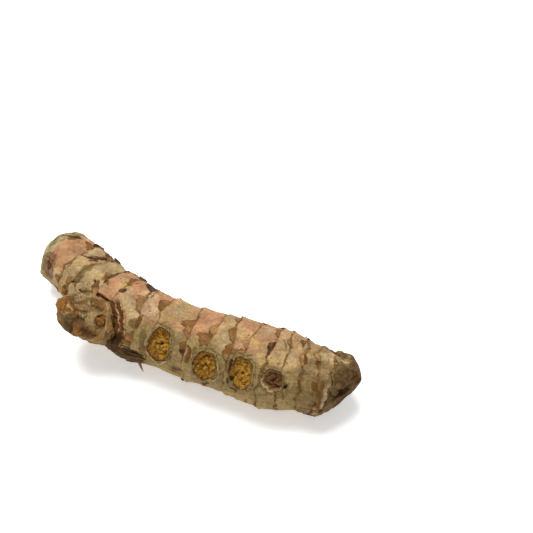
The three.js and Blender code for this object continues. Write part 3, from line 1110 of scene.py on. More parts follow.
# %% Make the skin
body_values = {
    "laid_out": body_laid,
    "past_ring": body_past,
    "scar_away": body_scar,
    "pinkness": body_pink,
    "greenness": body_green,
    "wornness": body_worn,
    "peeled": peeled(body_laid),
    "raised": skin_relief(body_nominal, body_distance, body_angle),
    # The dark lines, and the grooves, which are darkened as painted shade.
    "dark_line": np.maximum(body_dark_line, body_groove - 0.08),
    "brown_line": body_brown_line,
    "pale_line": body_pale_line,
    "young_cap": np.clip(6.2 - body_nominal, -1.5, 1.5),
    "foot_gap": body_gap,
    "foot_folds": fold_share(body_turn) * smooth((5.0 - body_gap) / 1.5),
    "dullness_and_shade": body_dull_and_shade,
    "brown_spot": spot_field(BROWN_SPOTS, body_nominal, body_angle),
    # Dark stains, and painted shade in the small hollows.
    "dark_spot_and_hollow_shade": spot_field(DARK_SPOTS_AND_HOLLOW_SHADE, body_nominal, body_angle),
    "pale_spot": spot_field(PALE_SPOTS, body_nominal, body_angle),
    "olive_spot": spot_field(OLIVE_SPOTS, body_nominal, body_angle),
    "bruise_spot": spot_field(BRUISE_SPOTS, body_nominal, body_angle),
    "oldness": smooth((body_distance - 78.0) / 22.0),
    # Paler underside: partly its own colour, partly painted light from below.
    "underside_pale_and_lit": smooth((-np.sin(body_angle) - 0.25) / 0.5),
}
skin_piece = closed_piece(
    "turmeric_skin",
    body_points,
    surface(np.array(0.0), np.array(0.0)),
    surface(np.array(LENGTH), np.array(0.0)),
    body_values,
)

# %% [markdown]
# ## The shoot scars
# Where a side shoot was broken off, the root healed with a raised corky rim round a dish of
# rough orange flesh. A scar is made as rings of points around its own middle, so that its rim
# is round and its flesh can have pits smaller than the grid of the skin. The outermost rings
# dive under the skin, along a ragged line.

# %% The relief of a scar
RIM_WIDTH = 0.2
FLESH_EDGE = 0.3
FLESH_PITS = 0.14
SCAR_TURNS = 150
SCAR_STEPS = 60
HEALED_SCARS = [3, 6]
# Of some scars: the direction of the pale lip, how narrow it is, its place and its thickness.
LIPS = {
    0: (2.2, 0.0, 1.2, 0.09),
    1: (0.3, 0.6, 1.17, 0.05),
    2: (5.4, 0.7, 1.17, 0.05),
    3: (2.3, 0.4, 0.92, 0.08),
}


def scar_relief(scar, away, turn, place):
    """The height of a scar over the skin around it, rim, dish and fine flesh."""
    at, _, _, _, rim, depth = scar
    edge = (1 - MOUND) * rim * np.exp(-(((away - 1) / RIM_WIDTH) ** 2))
    inside = smooth((1 - away) / FLESH_EDGE)
    pits = np.sin(5 * turn + 8 * away + at) + np.sin(3 * turn - 13 * away)
    height = edge * (1 + 0.3 * np.sin(3 * turn + at)) - inside * (depth + MOUND * rim)
    height = height + inside * FLESH_PITS * pits * smooth(3 * away)
    height = height + inside * (0.26 * rough_cloud(place, 0.95, 41) - 0.4 * creases(place, 1.3, 42))
    height = height + 0.16 * inside * cloud(place, 0.42, 47)
    cork = np.exp(-(((away - 1.08) / 0.2) ** 2))
    height = height + cork * (0.26 * rough_cloud(place, 1.1, 43) - 0.3 * creases(place, 1.6, 44))
    pit = np.exp(-(((away - 0.03 * np.sin(3 * turn)) / 0.13) ** 2))
    height = height - 0.8 * pit * inside
    layered = np.sin(26 * away + 2 * cloud(place, 1.5, 46))
    height = height + 0.12 * layered * smooth((away - 0.95) / 0.1)
    ragged = away + 0.12 * rough_cloud(place, 1.2, 45)
    return height - 0.7 * smooth((ragged - 1.27) / 0.18)


def lip_share(index, away, turn):
    """1 on the pale lip that some scars have on one side."""
    if index not in LIPS:
        return 0.0 * away
    toward, width, at, thickness = LIPS[index]
    across = smooth((np.cos(turn - toward) - width) / 0.3)
    wander = 0.04 * np.sin(5 * turn) + 0.02 * np.sin(11 * turn)
    return across * np.exp(-(((away - at - wander) / thickness) ** 2))


def scar_grid(index, scar):
    """The points of a scar, and the values that its material needs."""
    at, direction, along, around = scar[:4]
    away, turn = turning_grid(np.linspace(1.5, 0.02, SCAR_STEPS), SCAR_TURNS)
    wavy = away * (1 + 0.06 * np.sin(2 * turn + at) + 0.04 * np.sin(5 * turn))
    distance = at + wavy * along * np.cos(turn)
    angle = math.radians(direction) - wavy * around * np.sin(turn) / girth_at(distance)
    place = laid_out(distance, angle)
    nominal = nominal_at(distance, angle)
    lip = lip_share(index, away, turn)
    lift = scar_relief(scar, away, turn, place) + 0.35 * lip
    smoothed = surface(nominal, angle, lift, relief=0.3)
    values = {
        "laid_out": place,
        "scar_away": away,
        "lip": lip,
        # Dark stains, and painted shade in the small hollows.
        "dark_spot_and_hollow_shade": spot_field(DARK_SPOTS_AND_HOLLOW_SHADE, nominal, angle),
        "healed": 0.0 * away + (index in HEALED_SCARS),
    }
    return smoothed, values


def make_scar(index, scar):
    """One scar as a closed piece."""
    grid, values = scar_grid(index, scar)
    under = surface(
        nominal_at(np.array(scar[0]), np.radians(scar[1])),
        np.radians(scar[1]),
        lift=-3.0,
    )
    middle = grid[-1].mean(axis=0)
    return closed_piece(f"shoot_scar_{index + 1}", grid, under, middle, values)


scar_pieces = [make_scar(index, scar) for index, scar in enumerate(SCARS)]

# %% Make the knob
# Distance out, direction and size in mm.
KNOB_SPOTS = {
    "brown_spot": [
        (4.4, 62, 1.9),
        (4.8, 82, 1.6),
        (7.6, 345, 2.2),
        (5.6, 350, 1.6),
        (3.4, 78, 1.4),
        (9.4, 10, 1.5),
        (10.4, 5, 1.6),
        (5.0, 200, 2.5),
        (7.0, 260, 2.4),
    ],
    "orange_spot": [
        (12.4, 170, 3.4),
        (12.2, 60, 2.6),
        (11.4, 46, 2.0),
        (11.8, 260, 2.6),
        (9.6, 345, 1.2),
    ],
    "bruise_spot": [
        (11.0, 330, 2.4),
        (9.6, 318, 1.8),
        (11.4, 104, 1.2),
        (5.0, 14, 1.3),
    ],
    "pale_spot": [
        (6.4, 26, 2.2),
        (6.2, 72, 1.0),
        (9.0, 96, 1.8),
        (7.0, 328, 1.2),
        (4.6, 100, 1.4),
    ],
}
knob_walk, knob_angle = turning_grid(np.linspace(1.0, 0.0, KNOB_ROWS), KNOB_COLUMNS)
knob_grid, knob_place = knob_surface(knob_walk, knob_angle)
knob_values = {
    "laid_out": knob_place,
    "knob_out": knob_place[..., 0],
    "raised": knob_relief(knob_place, knob_angle),
    "wrinkled": knob_wrinkled(knob_place[..., 0], knob_angle),
    "dark_line": line_field(KNOB_DARK_LINES, knob_place, knob_lay),
    "pale_line": line_field(KNOB_PALE_LINES, knob_place, knob_lay),
}
for mark, spots in KNOB_SPOTS.items():
    fields = []
    for at, toward, size in spots:
        middle = knob_lay(np.array(float(at)), np.radians(toward))
        fields.append(1 - np.linalg.norm(knob_place - middle, axis=-1) / size)
    knob_values[mark] = np.clip(np.max(fields, axis=0), -1.0, 1.0)
knob_piece = closed_piece(
    "side_knob",
    knob_grid,
    knob_grid[0].mean(axis=0),
    knob_grid[-1].mean(axis=0),
    knob_values,
)

# %% [markdown]
# ## The buds
# Two small buds show beside the knob and on it. A bud is a little dome of tight scales, so it
# starts as a ball with rings and folds, and sinks part of the way into the skin.

# %% Make the buds
# Distance, direction, how far it stands out, and radius in mm.
BUD = (18.2, 12, 1.0, 1.7)
# Sideways, up and out along the knob's own directions, and radius in mm.
KNOB_BUD = (6.35, 2.5, 3.8, 1.3)
BUD_ROWS = 40
BUD_COLUMNS = 64


def make_bud(name, middle, axis, radius, seed):
    """A folded ball around an axis."""
    axis = unit(axis)
    across = unit(np.cross(axis, np.array([0.0, 0.0, 1.0])))
    third = np.cross(axis, across)
    polar, turn = turning_grid(np.linspace(0.03, np.pi - 0.03, BUD_ROWS), BUD_COLUMNS)
    directions = (
        axis * np.cos(polar)[..., None]
        + across * (np.sin(polar) * np.cos(turn))[..., None]
        + third * (np.sin(polar) * np.sin(turn))[..., None]
    )
    folds = 0.06 * np.sin(7 * polar + 1.5 * np.sin(2 * turn)) + 0.05 * np.sin(4 * turn + seed)
    size = radius * (1 + folds + 0.16 * rough_cloud(directions * 3, 1.6, seed))
    grid = middle + directions * size[..., None]
    top = middle + axis * radius
    bottom = middle - axis * radius
    return closed_piece(name, grid, top, bottom, {"laid_out": directions * radius})


bud_at = np.array(BUD[0])
bud_angle = np.radians(BUD[1])
bud_place = surface(bud_at, bud_angle, lift=BUD[2] - BUD[3], relief=0.0)
_, _, bud_near, bud_up = frame_at(bud_at)
bud_piece = make_bud("small_bud", bud_place, outward(bud_near, bud_up, bud_angle), BUD[3], 61)
knob_bud_piece = make_bud(
    "knob_bud",
    knob_point(KNOB_BUD[0], KNOB_BUD[1], KNOB_BUD[2]),
    0.9 * knob_side + 0.4 * knob_rise + 0.15 * knob_out,
    KNOB_BUD[3],
    62,
)

# %% [markdown]
# ## Papery remains of the leaves
# A withered leaf stays on its ring as a thin brown scale that points to the growing tip, torn
# at its free edge. Each scale is a real thin shell: a grid on the skin that is lifted a little,
# with a back and a rim. It starts on the top of the ledge and comes down on the younger skin.
# The scales that show in the photograph are placed one by one, and the rest are scattered, so
# that the hidden side is just as full.

# %% A thin shell from a grid
def shell_faces(rows, columns):
    """Faces of a thin closed shell: front grid, back grid and the rim between them."""
    index = np.arange(rows * columns).reshape(rows, columns)
    front = np.stack([index[:-1, :-1], index[:-1, 1:], index[1:, 1:], index[1:, :-1]], axis=-1)
    front = front.reshape(-1, 4)
    back = front[:, ::-1] + rows * columns
    border = np.concatenate([
        index[0, :-1],
        index[:-1, -1],
        index[-1, :0:-1],
        index[:0:-1, 0],
    ])
    after = np.roll(border, -1)
    rim = np.stack([border, border + rows * columns, after + rows * columns, after], axis=-1)
    return np.vstack([front, back, rim])


def shell_grid(rows, columns, start=0.0):
    """Two grids: shares along a shell from 0 to 1, and across it from start to 1."""
    return np.meshgrid(np.linspace(0, 1, rows), np.linspace(start, 1, columns), indexing="ij")


class ShellPile:
    """Many thin shells that become one object."""

    def __init__(self):
        self.points = []
        self.faces = []
        self.values = {"laid_out": [], "tone": [], "edge": []}
        self.count = 0

    def add(self, grid, outside, thickness, laid, tone, edge):
        """Adds one shell. outside points away from the root at each point."""
        back = grid - outside * thickness
        rows, columns = grid.shape[:2]
        self.points += [grid.reshape(-1, 3), back.reshape(-1, 3)]
        self.faces.append(shell_faces(rows, columns) + self.count)
        for _ in range(2):
            self.values["laid_out"].append(laid.reshape(-1, 3))
            self.values["tone"].append(np.full(rows * columns, tone))
            self.values["edge"].append(edge.ravel())
        self.count += 2 * rows * columns

    def piece(self, name):
        """The object with all shells. What would be under the floor folds up into the root."""
        values = {title: np.concatenate(parts) for title, parts in self.values.items()}
        points = np.vstack(self.points)
        points[:, 2] = np.abs(points[:, 2])
        return add_piece(name, points, np.vstack(self.faces).tolist(), values)


# %% Scales on the rings
SCALE_THICKNESS = 0.07
SCALE_GRAIN = 0.3
FRINGE_COLUMNS = 220
SHEATH_THICKNESS = 0.12

# Ring number, tone from dark 0 to pale 1, curl of the free edge in mm, and the outline as pairs
# of a direction and the reach towards the tip in mm.
PLACED_SCALES = [
    (1, 0.25, 0.2, [(108, 0.3), (112, 2.0), (120, 3.2), (127, 1.6), (130, 0.4)]),
    (1, 0.05, 0.5, [(126, 0.6), (136, 1.6), (148, 1.0), (160, 0.2)]),
    (2, 0.3, 0.5, [(116, 0.4), (128, 2.0), (140, 3.6), (148, 2.2), (153, 0.3)]),
    (2, 0.4, 0.1, [(70, 0.2), (80, 0.9), (90, 1.3), (104, 0.4)]),
    (2, 0.0, 0.8, [(138, 0.4), (150, 2.4), (160, 1.8), (172, 0.2)]),
    (3, 0.15, 0.2, [(78, 0.2), (90, 0.8), (104, 1.1), (118, 0.3)]),
    (3, 0.6, 0.1, [(44, 0.4), (52, 2.4), (60, 3.0), (66, 0.6)]),
    (4, 0.35, 0.2, [(104, 0.6), (112, 0.9), (122, 1.6), (130, 0.5)]),
    (4, 0.0, 0.4, [(138, 0.6), (146, 3.0), (156, 4.4), (168, 2.0), (176, 0.3)]),
    (4, 0.05, 0.6, [(148, 1.0), (156, 3.0), (166, 1.0)]),
    (5, 0.55, 0.12, [(70, 0.3), (74, 1.2), (82, 1.8), (92, 2.4), (98, 3.3), (101, 1.6)]),
    (5, 0.0, 0.4, [(116, 0.5), (124, 2.6), (132, 4.6), (142, 6.2), (150, 4.0), (157, 0.5)]),
    (3, 0.05, 0.2, [(120, 0.3), (130, 1.5), (142, 1.8), (150, 0.4)]),
    (5, 0.3, 0.1, [(101, 0.6), (110, 1.1), (118, 0.5), (124, 0.2)]),
    (6, 0.4, 0.15, [(88, 0.6), (91, 1.5), (97, 2.4), (104, 2.7), (112, 1.8), (117, 0.3)]),
    (7, 0.5, 0.1, [(58, 0.3), (62, 1.0), (70, 2.2), (78, 3.4), (84, 4.8), (88, 3.4), (93, 0.8)]),
    (7, 0.2, 0.12, [(33, 0.4), (38, 1.8), (46, 2.2), (52, 1.2), (55, 0.2)]),
    (8, 0.5, 0.1, [(50, 0.9), (53, 2.0), (58, 3.2), (64, 4.4), (69, 5.0), (74, 3.6), (76, 1.0)]),
    (8, 0.65, 0.1, [(76, 1.4), (79, 2.7), (87, 2.5), (92, 1.3), (97, 0.3)]),
    (9, 0.5, 0.12, [(103, 0.3), (110, 1.3), (118, 2.3), (124, 2.8), (128, 1.4)]),
    (9, 0.5, 0.12, [(72, 0.3), (78, 1.2), (86, 1.7), (93, 2.1), (98, 1.4), (101, 0.2)]),
    (9, 0.45, 0.12, [(44, 0.3), (50, 0.9), (58, 1.4), (66, 1.9), (71, 1.3), (73, 0.3)]),
    (10, 0.5, 0.12, [(51, 1.6), (56, 3.6), (61, 4.6), (65, 3.2), (68, 0.4)]),
    (10, 0.85, 0.08, [(70, 0.3), (75, 1.7), (79, 2.3), (84, 1.3), (87, 0.3)]),
    (11, 0.15, 0.12, [(65, 0.3), (72, 0.8), (84, 1.3), (90, 1.4), (93, 0.3)]),
    (11, 0.45, 0.15, [(104, 0.3), (110, 1.1), (118, 1.7), (123, 1.5), (127, 0.3)]),
    (12, 0.4, 0.12, [(94, 0.3), (99, 1.4), (105, 1.2), (109, 0.3)]),
    (13, 0.65, 0.1, [(70, 0.3), (80, 1.3), (90, 0.8), (100, 0.2)]),
    (13, 0.25, 0.15, [(106, 0.3), (114, 1.6), (122, 1.2), (127, 0.3)]),
    (14, 0.65, 0.1, [(88, 0.4), (96, 1.8), (104, 1.6), (110, 0.3)]),
    (14, 0.15, 0.2, [(-22, 0.3), (-14, 1.4), (-6, 1.2), (2, 0.3)]),
]


def under_scars(distance, angle):
    """How deep a shell is buried where it would cross a scar, in mm."""
    return 1.6 * smooth((1.32 - nearest_scar(distance, angle)) / 0.12)


def add_scale(pile, ring, tone, curl, outline):
    """One papery scale that is attached to a ring."""
    directions, reaches = np.array(outline, dtype=float).T
    width = math.radians(directions[-1] - directions[0]) * TYPICAL_RADIUS
    columns = max(8, int(width / SCALE_GRAIN))
    rows = max(6, int(reaches.max() / SCALE_GRAIN))
    along, around = shell_grid(rows, columns)
    degrees_around = directions[0] + (directions[-1] - directions[0]) * around
    angle = np.radians(degrees_around)
    place = ring_place(ring, angle)
    ragged = 1 + 0.42 * rough_cloud(place, 1.1, 71) + 0.2 * cloud(place, 2.6, 72)
    reach = np.interp(degrees_around, directions, reaches) * np.clip(ragged, 0.4, 1.6)
    behind = along * reach
    nominal = ring_at[ring] + 0.12 - behind
    distance = row_distance(nominal, angle)
    laid = laid_out(distance, angle)
    from_ledge = 1.15 * RINGS[ring, 3] * np.exp(-np.maximum(behind - 0.12, 0.0) / 0.9)
    waves = 0.05 * rough_cloud(laid, 1.2, 73)
    free = np.minimum(along, 4 * np.minimum(around, 1 - around) + 0.3 * along)
    lift = 0.08 + from_ledge * (behind > 0.12) + waves * along + curl * free**3
    lift = lift - under_scars(distance, angle)
    grid = surface(nominal, angle, lift)
    _, _, near, up = frame_at(distance)
    edge = np.maximum(along, 1 - 5 * np.minimum(around, 1 - around))
    pile.add(grid, outward(near, up, angle), SCALE_THICKNESS, laid, tone, edge)


def add_fringe(pile, ring):
    """The narrow torn remains all the way round a ring."""
    along, around = shell_grid(4, FRINGE_COLUMNS)
    angle = 2 * np.pi * around - np.pi / 2
    ragged = 0.05 + 1.1 * cloud(ring_place(ring, angle), 2.6, 74)
    ragged = ragged + 0.4 * rough_cloud(ring_place(ring, angle), 0.8, 75)
    behind = along * (0.04 + 0.6 * np.clip(ragged, 0.0, 1.2))
    nominal = ring_at[ring] + 0.1 - behind
    distance = row_distance(nominal, angle)
    laid = laid_out(distance, angle)
    buried = 0.4 * smooth((0.15 - ragged) / 0.1)
    buried = buried + under_scars(distance, angle)
    from_ledge = 1.1 * RINGS[ring, 3] * np.exp(-behind / 0.6) * (behind > 0.1)
    grid = surface(nominal, angle, 0.04 + from_ledge - buried)
    _, _, near, up = frame_at(distance)
    pile.add(grid, outward(near, up, angle), SCALE_THICKNESS, laid, 0.4, along)


scale_pile = ShellPile()
for placed in PLACED_SCALES:
    add_scale(scale_pile, *placed)
print(len(PLACED_SCALES), "placed scales")

# %% Scattered scales and fringes
SCATTERED_PER_RING = 6
scatter = np.random.default_rng(29)
for ring in range(1, len(RINGS) - 1):
    for _ in range(SCATTERED_PER_RING):
        start = scatter.uniform(130.0, 385.0)
        steps = scatter.integers(3, 6)
        width = scatter.uniform(9.0, 34.0)
        reaches = scatter.uniform(0.8, 3.6) * scatter.uniform(0.35, 1.0, steps)
        pairs = [(start, 0.3)]
        for step, reach in enumerate(reaches):
            pairs.append((start + width * (step + 0.6) / steps, reach))
        pairs.append((start + width, 0.3))
        tone = scatter.uniform(0.1, 0.8)
        add_scale(scale_pile, ring, tone, scatter.uniform(0.05, 0.35), pairs)
    add_fringe(scale_pile, ring)
add_fringe(scale_pile, 0)
scales_piece = scale_pile.piece("papery_scales")

# %% [markdown]
# ## Old sheaths beside the knob
# Where the knob broke through, the torn leaf stands round its foot in two dark sheets, and a
# bundle of dark strips hugs the lower side of the root behind it. They are thin shells too. The
# sheets stand round the foot of the knob, a little wider than it.

# %% Sheets around the foot of the knob
# First and last direction round the knob, low and high edge along it, gap to it, tone and seed.
SHEETS = [
    (-52, 84, -2.8, 0.6, 0.3, 0.2, 91),
    (-40, 60, -3.2, -0.4, 1.2, 0.1, 92),
]
# Both ends as distance and direction, height of the bow, tone and half-width.
STRIPS = [
    ((34.0, -14), (47.0, -16), 0.7, 0.2, 1.3),
    ((35.0, -24), (46.0, -22), 0.8, 0.05, 1.0),
    ((36.0, -3), (47.5, -8), 0.5, 0.3, 0.9),
    ((38.0, 4), (46.8, 3), 0.4, 0.1, 0.5),
    ((36.0, -34), (47.0, -30), 0.6, 0.3, 1.2),
]


def add_sheet(pile, start, finish, low, high, gap, tone, seed):
    """A torn sheet around the knob's foot, between two heights along the knob."""
    columns = int((finish - start) / 2.2)
    along, around = shell_grid(12, columns)
    turn = np.radians(start + (finish - start) * around)
    rough = rough_cloud(ring_place(seed, turn, 7.0), 1.3, seed)
    ends = smooth(6 * np.minimum(around, 1 - around))
    out = low + (high - low + 0.9 * rough) * along * (0.25 + 0.75 * ends)
    radius = FOOT_RADIUS + gap + 0.35 * along**2 + 0.15 * rough
    across = radius * knob_lobes(turn, out)
    grid = knob_point(across * KNOB_WIDTH * np.cos(turn), across * KNOB_HEIGHT * np.sin(turn), out)
    outside = knob_point(np.cos(turn), np.sin(turn), 0 * turn) - knob_start
    laid = np.stack([out, 7 * np.cos(turn), 7 * np.sin(turn)], axis=-1)
    pile.add(grid, outside, SHEATH_THICKNESS, laid, tone, along)


def add_strip(pile, start, finish, lift, tone, width):
    """A lengthwise strip that lies along the root, from one place to another."""
    length = abs(finish[0] - start[0])
    rows = max(8, int(length / 0.35))
    along, around = shell_grid(rows, 9, start=-1.0)
    narrowing = 0.25 + 0.75 * smooth(4 * np.minimum(along, 1 - along) + 0.1)
    nominal = start[0] + (finish[0] - start[0]) * along
    place = np.stack([nominal, 0 * nominal + width, 0 * nominal + 5 * tone], axis=-1)
    middle = start[1] + (finish[1] - start[1]) * along + 3.0 * cloud(place, 2.2, 81)
    angle = np.radians(middle) + width * narrowing * around / TYPICAL_RADIUS
    distance = row_distance(nominal, angle)
    laid = laid_out(distance, angle)
    bow = lift * np.sin(np.pi * along) ** 0.6 * (1 - 0.5 * around**2)
    grid = surface(nominal, angle, 0.05 + bow + 0.05 * rough_cloud(laid, 0.9, 82))
    _, _, near, up = frame_at(distance)
    pile.add(grid, outward(near, up, angle), SHEATH_THICKNESS, laid, tone, np.abs(around))


sheath_pile = ShellPile()
for sheet in SHEETS:
    add_sheet(sheath_pile, *sheet)
for strip in STRIPS:
    add_strip(sheath_pile, *strip)
print(len(SHEETS), "sheets and", len(STRIPS), "strips")
sheath_piece = sheath_pile.piece("old_sheaths")

# %% [markdown]
# ## Rootlets and fibres
# A few thin rootlets and torn fibres stick out of a fresh root, most of them short. Each one is
# a tapered tube along a short bent path, with its foot inside the skin.

# %% Make the rootlets
# Distance, direction, length, radius and bend, in mm.
ROOTLETS = [
    (44.2, -31, 3.0, 0.55, (1.1, 0.3, -0.2)),
    (31.5, 152, 2.2, 0.16, (0.4, 0.5, 0.5)),
    (33.0, 158, 1.8, 0.13, (-0.6, 0.4, 0.5)),
    (17.5, 140, 2.0, 0.15, (0.7, 0.3, 0.5)),
    (19.0, 150, 1.6, 0.12, (0.9, 0.1, 0.3)),
    (53.0, 178, 2.4, 0.25, (-0.3, 0.6, -0.2)),
    (70.5, 205, 2.8, 0.3, (0.4, 0.5, -0.3)),
    (86.0, 172, 1.8, 0.2, (0.2, 0.6, 0.1)),
    (60.0, 222, 1.4, 0.3, (-0.6, 0.3, 0.1)),
]
ROOTLET_SIDES = 10
ROOTLET_STEPS = 14


def rootlet_grid(nominal, direction, length, radius, bend):
    """Rings of points round a bent tapered path."""
    foot = surface(np.array(nominal), np.radians(direction), -0.4)
    _, _, near, up = frame_at(np.array(nominal))
    leave = outward(near, up, np.radians(direction))
    share = np.linspace(0.0, 1.0, ROOTLET_STEPS)[:, None]
    heading = unit(leave + 0.6 * np.array(bend))
    path = foot + heading * share * (length + 0.4) + np.array(bend) * share**2 * length * 0.15
    side = unit(np.cross(heading, np.array([0.3, 0.2, 0.9])))
    third = np.cross(heading, side)
    turn = 2 * np.pi * np.arange(ROOTLET_SIDES) / ROOTLET_SIDES
    ring = side * np.cos(turn)[:, None] + third * np.sin(turn)[:, None]
    size = radius * (1.25 - 1.1 * share**0.8)
    return path[:, None, :] + ring[None, :, :] * size[:, :, None]


def make_rootlets(name):
    """All rootlets as one object."""
    points = []
    faces = []
    places = []
    count = 0
    for rootlet in ROOTLETS:
        grid = rootlet_grid(*rootlet)
        block = np.vstack([grid[0].mean(axis=0), grid.reshape(-1, 3), grid[-1].mean(axis=0)])
        tube = closed_faces(ROOTLET_STEPS, ROOTLET_SIDES)
        faces += [[count + corner for corner in face] for face in tube]
        points.append(block)
        places.append(block)
        count += len(block)
    return add_piece(name, np.vstack(points), faces, {"laid_out": np.vstack(places)})


rootlets_piece = make_rootlets("rootlets")

# %% [markdown]
# ## Materials
# A material is a small chain of nodes. This class adds the nodes in a maker's words: read a
# value of the mesh, make a noise of a size in mm, mix two colours. A colour is given as it
# looks on a screen and is turned into the linear numbers that Blender uses.

# %% Helpers for materials
def paint(red, green, blue):
    """A colour from its screen values, 0 to 255."""
    linear = []
    for channel in (red, green, blue):
        share = channel / 255
        linear.append(share / 12.92 if share <= 0.04045 else ((share + 0.055) / 1.055) ** 2.4)
    return (*linear, 1.0)


class Finish:
    """One material, built up node by node."""

    def __init__(self, name):
        self.material = bpy.data.materials.new(name)
        self.material.use_nodes = True
        self.nodes = self.material.node_tree.nodes
        self.links = self.material.node_tree.links
        self.shader = self.nodes["Principled BSDF"]

    def feed(self, socket, source):
        """Links a socket to an output, or sets its number or colour."""
        if hasattr(source, "is_output"):
            self.links.new(source, socket)
        else:
            socket.default_value = source

    def value(self, name):
        """A value stored on the mesh."""
        node = self.nodes.new("ShaderNodeAttribute")
        node.attribute_name = name
        return node.outputs["Fac"]

    def place(self, stretch=(1.0, 1.0, 1.0)):
        """The stored place, squeezed along its axes."""
        node = self.nodes.new("ShaderNodeAttribute")
        node.attribute_name = "laid_out"
        if stretch == (1.0, 1.0, 1.0):
            return node.outputs["Vector"]
        squeezed = self.nodes.new("ShaderNodeMapping")
        squeezed.inputs["Scale"].default_value = stretch
        self.links.new(node.outputs["Vector"], squeezed.inputs["Vector"])
        return squeezed.outputs["Vector"]

    def noise(self, place, size, detail=3.0, roughness=0.55, distortion=0.0, other=0.0):
        """A noise from 0 to 1 with lumps of a size in mm. Each value of other gives another."""
        node = self.nodes.new("ShaderNodeTexNoise")
        node.noise_dimensions = "4D"
        node.inputs["W"].default_value = other
        node.inputs["Scale"].default_value = 1.0 / size
        node.inputs["Detail"].default_value = detail
        node.inputs["Roughness"].default_value = roughness
        node.inputs["Distortion"].default_value = distortion
        self.links.new(place, node.inputs["Vector"])
        return node.outputs["Fac"]

    def cells(self, place, size):
        """The distance to the nearest of many scattered points, for grains and pores."""
        node = self.nodes.new("ShaderNodeTexVoronoi")
        node.inputs["Scale"].default_value = 1.0 / size
        self.links.new(place, node.inputs["Vector"])
        return node.outputs["Distance"]

    def sum(self, kind, first, second=0.0, third=0.0):
        """One step of arithmetic."""
        node = self.nodes.new("ShaderNodeMath")
        node.operation = kind
        for socket, source in zip(node.inputs, (first, second, third)):
            self.feed(socket, source)
        return node.outputs[0]

    def rise(self, source, low, high, start=0.0, end=1.0):
        """Goes smoothly from start to end while the source goes from low to high."""
        node = self.nodes.new("ShaderNodeMapRange")
        node.interpolation_type = "SMOOTHSTEP"
        self.feed(node.inputs["Value"], source)
        for title, number in zip(("From Min", "From Max", "To Min", "To Max"), (low, high, start, end)):
            node.inputs[title].default_value = number
        return node.outputs["Result"]

    def mix(self, share, first, second, kind="MIX"):
        """A blend of two colours."""
        node = self.nodes.new("ShaderNodeMix")
        node.data_type = "RGBA"
        node.blend_type = kind
        self.feed(node.inputs[0], share)
        self.feed(node.inputs[6], first)
        self.feed(node.inputs[7], second)
        return node.outputs[2]

    def uneven(self, source, noise, amount, shift=0.0):
        """A value that a noise makes uneven."""
        total = self.sum("MULTIPLY_ADD", noise, amount, source)
        return self.sum("ADD", total, shift) if shift else total

    def coat(self, colour, tint, source, low, high, most=1.0):
        """A tint over a colour, from nothing to most while the source goes from low to high."""
        return self.mix(self.rise(source, low, high, 0.0, most), colour, tint)

    def shade(self, colour, source, low, high, dark, bright):
        """A colour made darker or brighter while the source goes from low to high."""
        return self.mix(1.0, colour, self.rise(source, low, high, dark, bright), "MULTIPLY")

    def bump(self, height, strength, distance, under=None):
        """Raises the surface by a height, over another bump if there is one."""
        node = self.nodes.new("ShaderNodeBump")
        node.inputs["Strength"].default_value = strength
        node.inputs["Distance"].default_value = distance * MM
        self.feed(node.inputs["Height"], height)
        if under is not None:
            self.links.new(under, node.inputs["Normal"])
        return node.outputs["Normal"]

    def done(self, colour, roughness, normal, gloss=0.5):
        """Connects the results to the shader."""
        self.shader.inputs["Specular IOR Level"].default_value = gloss
        self.feed(self.shader.inputs["Base Color"], colour)
        self.feed(self.shader.inputs["Roughness"], roughness)
        self.links.new(normal, self.shader.inputs["Normal"])
        return self.material


# %% [markdown]
# ## The skin's finish
# Fresh turmeric skin is thin, dry and finely grainy. It is pinkish cream where it is young and
# clean, greener and duller on old stretches, and duller on the lower side, partly in its own colour
# and partly as painted shade. It is brown along the rings, where bits of the withered leaves are
# left. The marks get their ragged edges from fine noise added to the stored values just before
# they are cut off at a limit.

# %% The skin
SKIN_PINK = paint(186, 137, 99)
SKIN_CREAM = paint(190, 158, 110)
SKIN_YELLOW = paint(190, 160, 96)
SKIN_GREEN = paint(166, 143, 101)
SKIN_DULL_AND_SHADE = paint(164, 138, 90)
SKIN_OLD = paint(120, 95, 58)
SKIN_WASHED = paint(196, 172, 132)
SKIN_ROSY = paint(192, 134, 100)
SKIN_CAP = paint(172, 158, 116)
CAP_OLIVE = paint(124, 104, 62)
SPOT_OLIVE = paint(116, 94, 52)
SPOT_BRUISE = paint(118, 82, 56)
SKIN_UNDER_PALE_AND_LIT = paint(190, 166, 118)
SPOT_BROWN = paint(112, 74, 34)
SPOT_DARK = paint(62, 32, 12)
SPOT_PALE = paint(192, 166, 122)
RING_BROWN = paint(112, 74, 32)
FOLD_RED = paint(94, 58, 26)
CORK_GREY = paint(118, 94, 58)
CORK_DARK = paint(76, 50, 22)


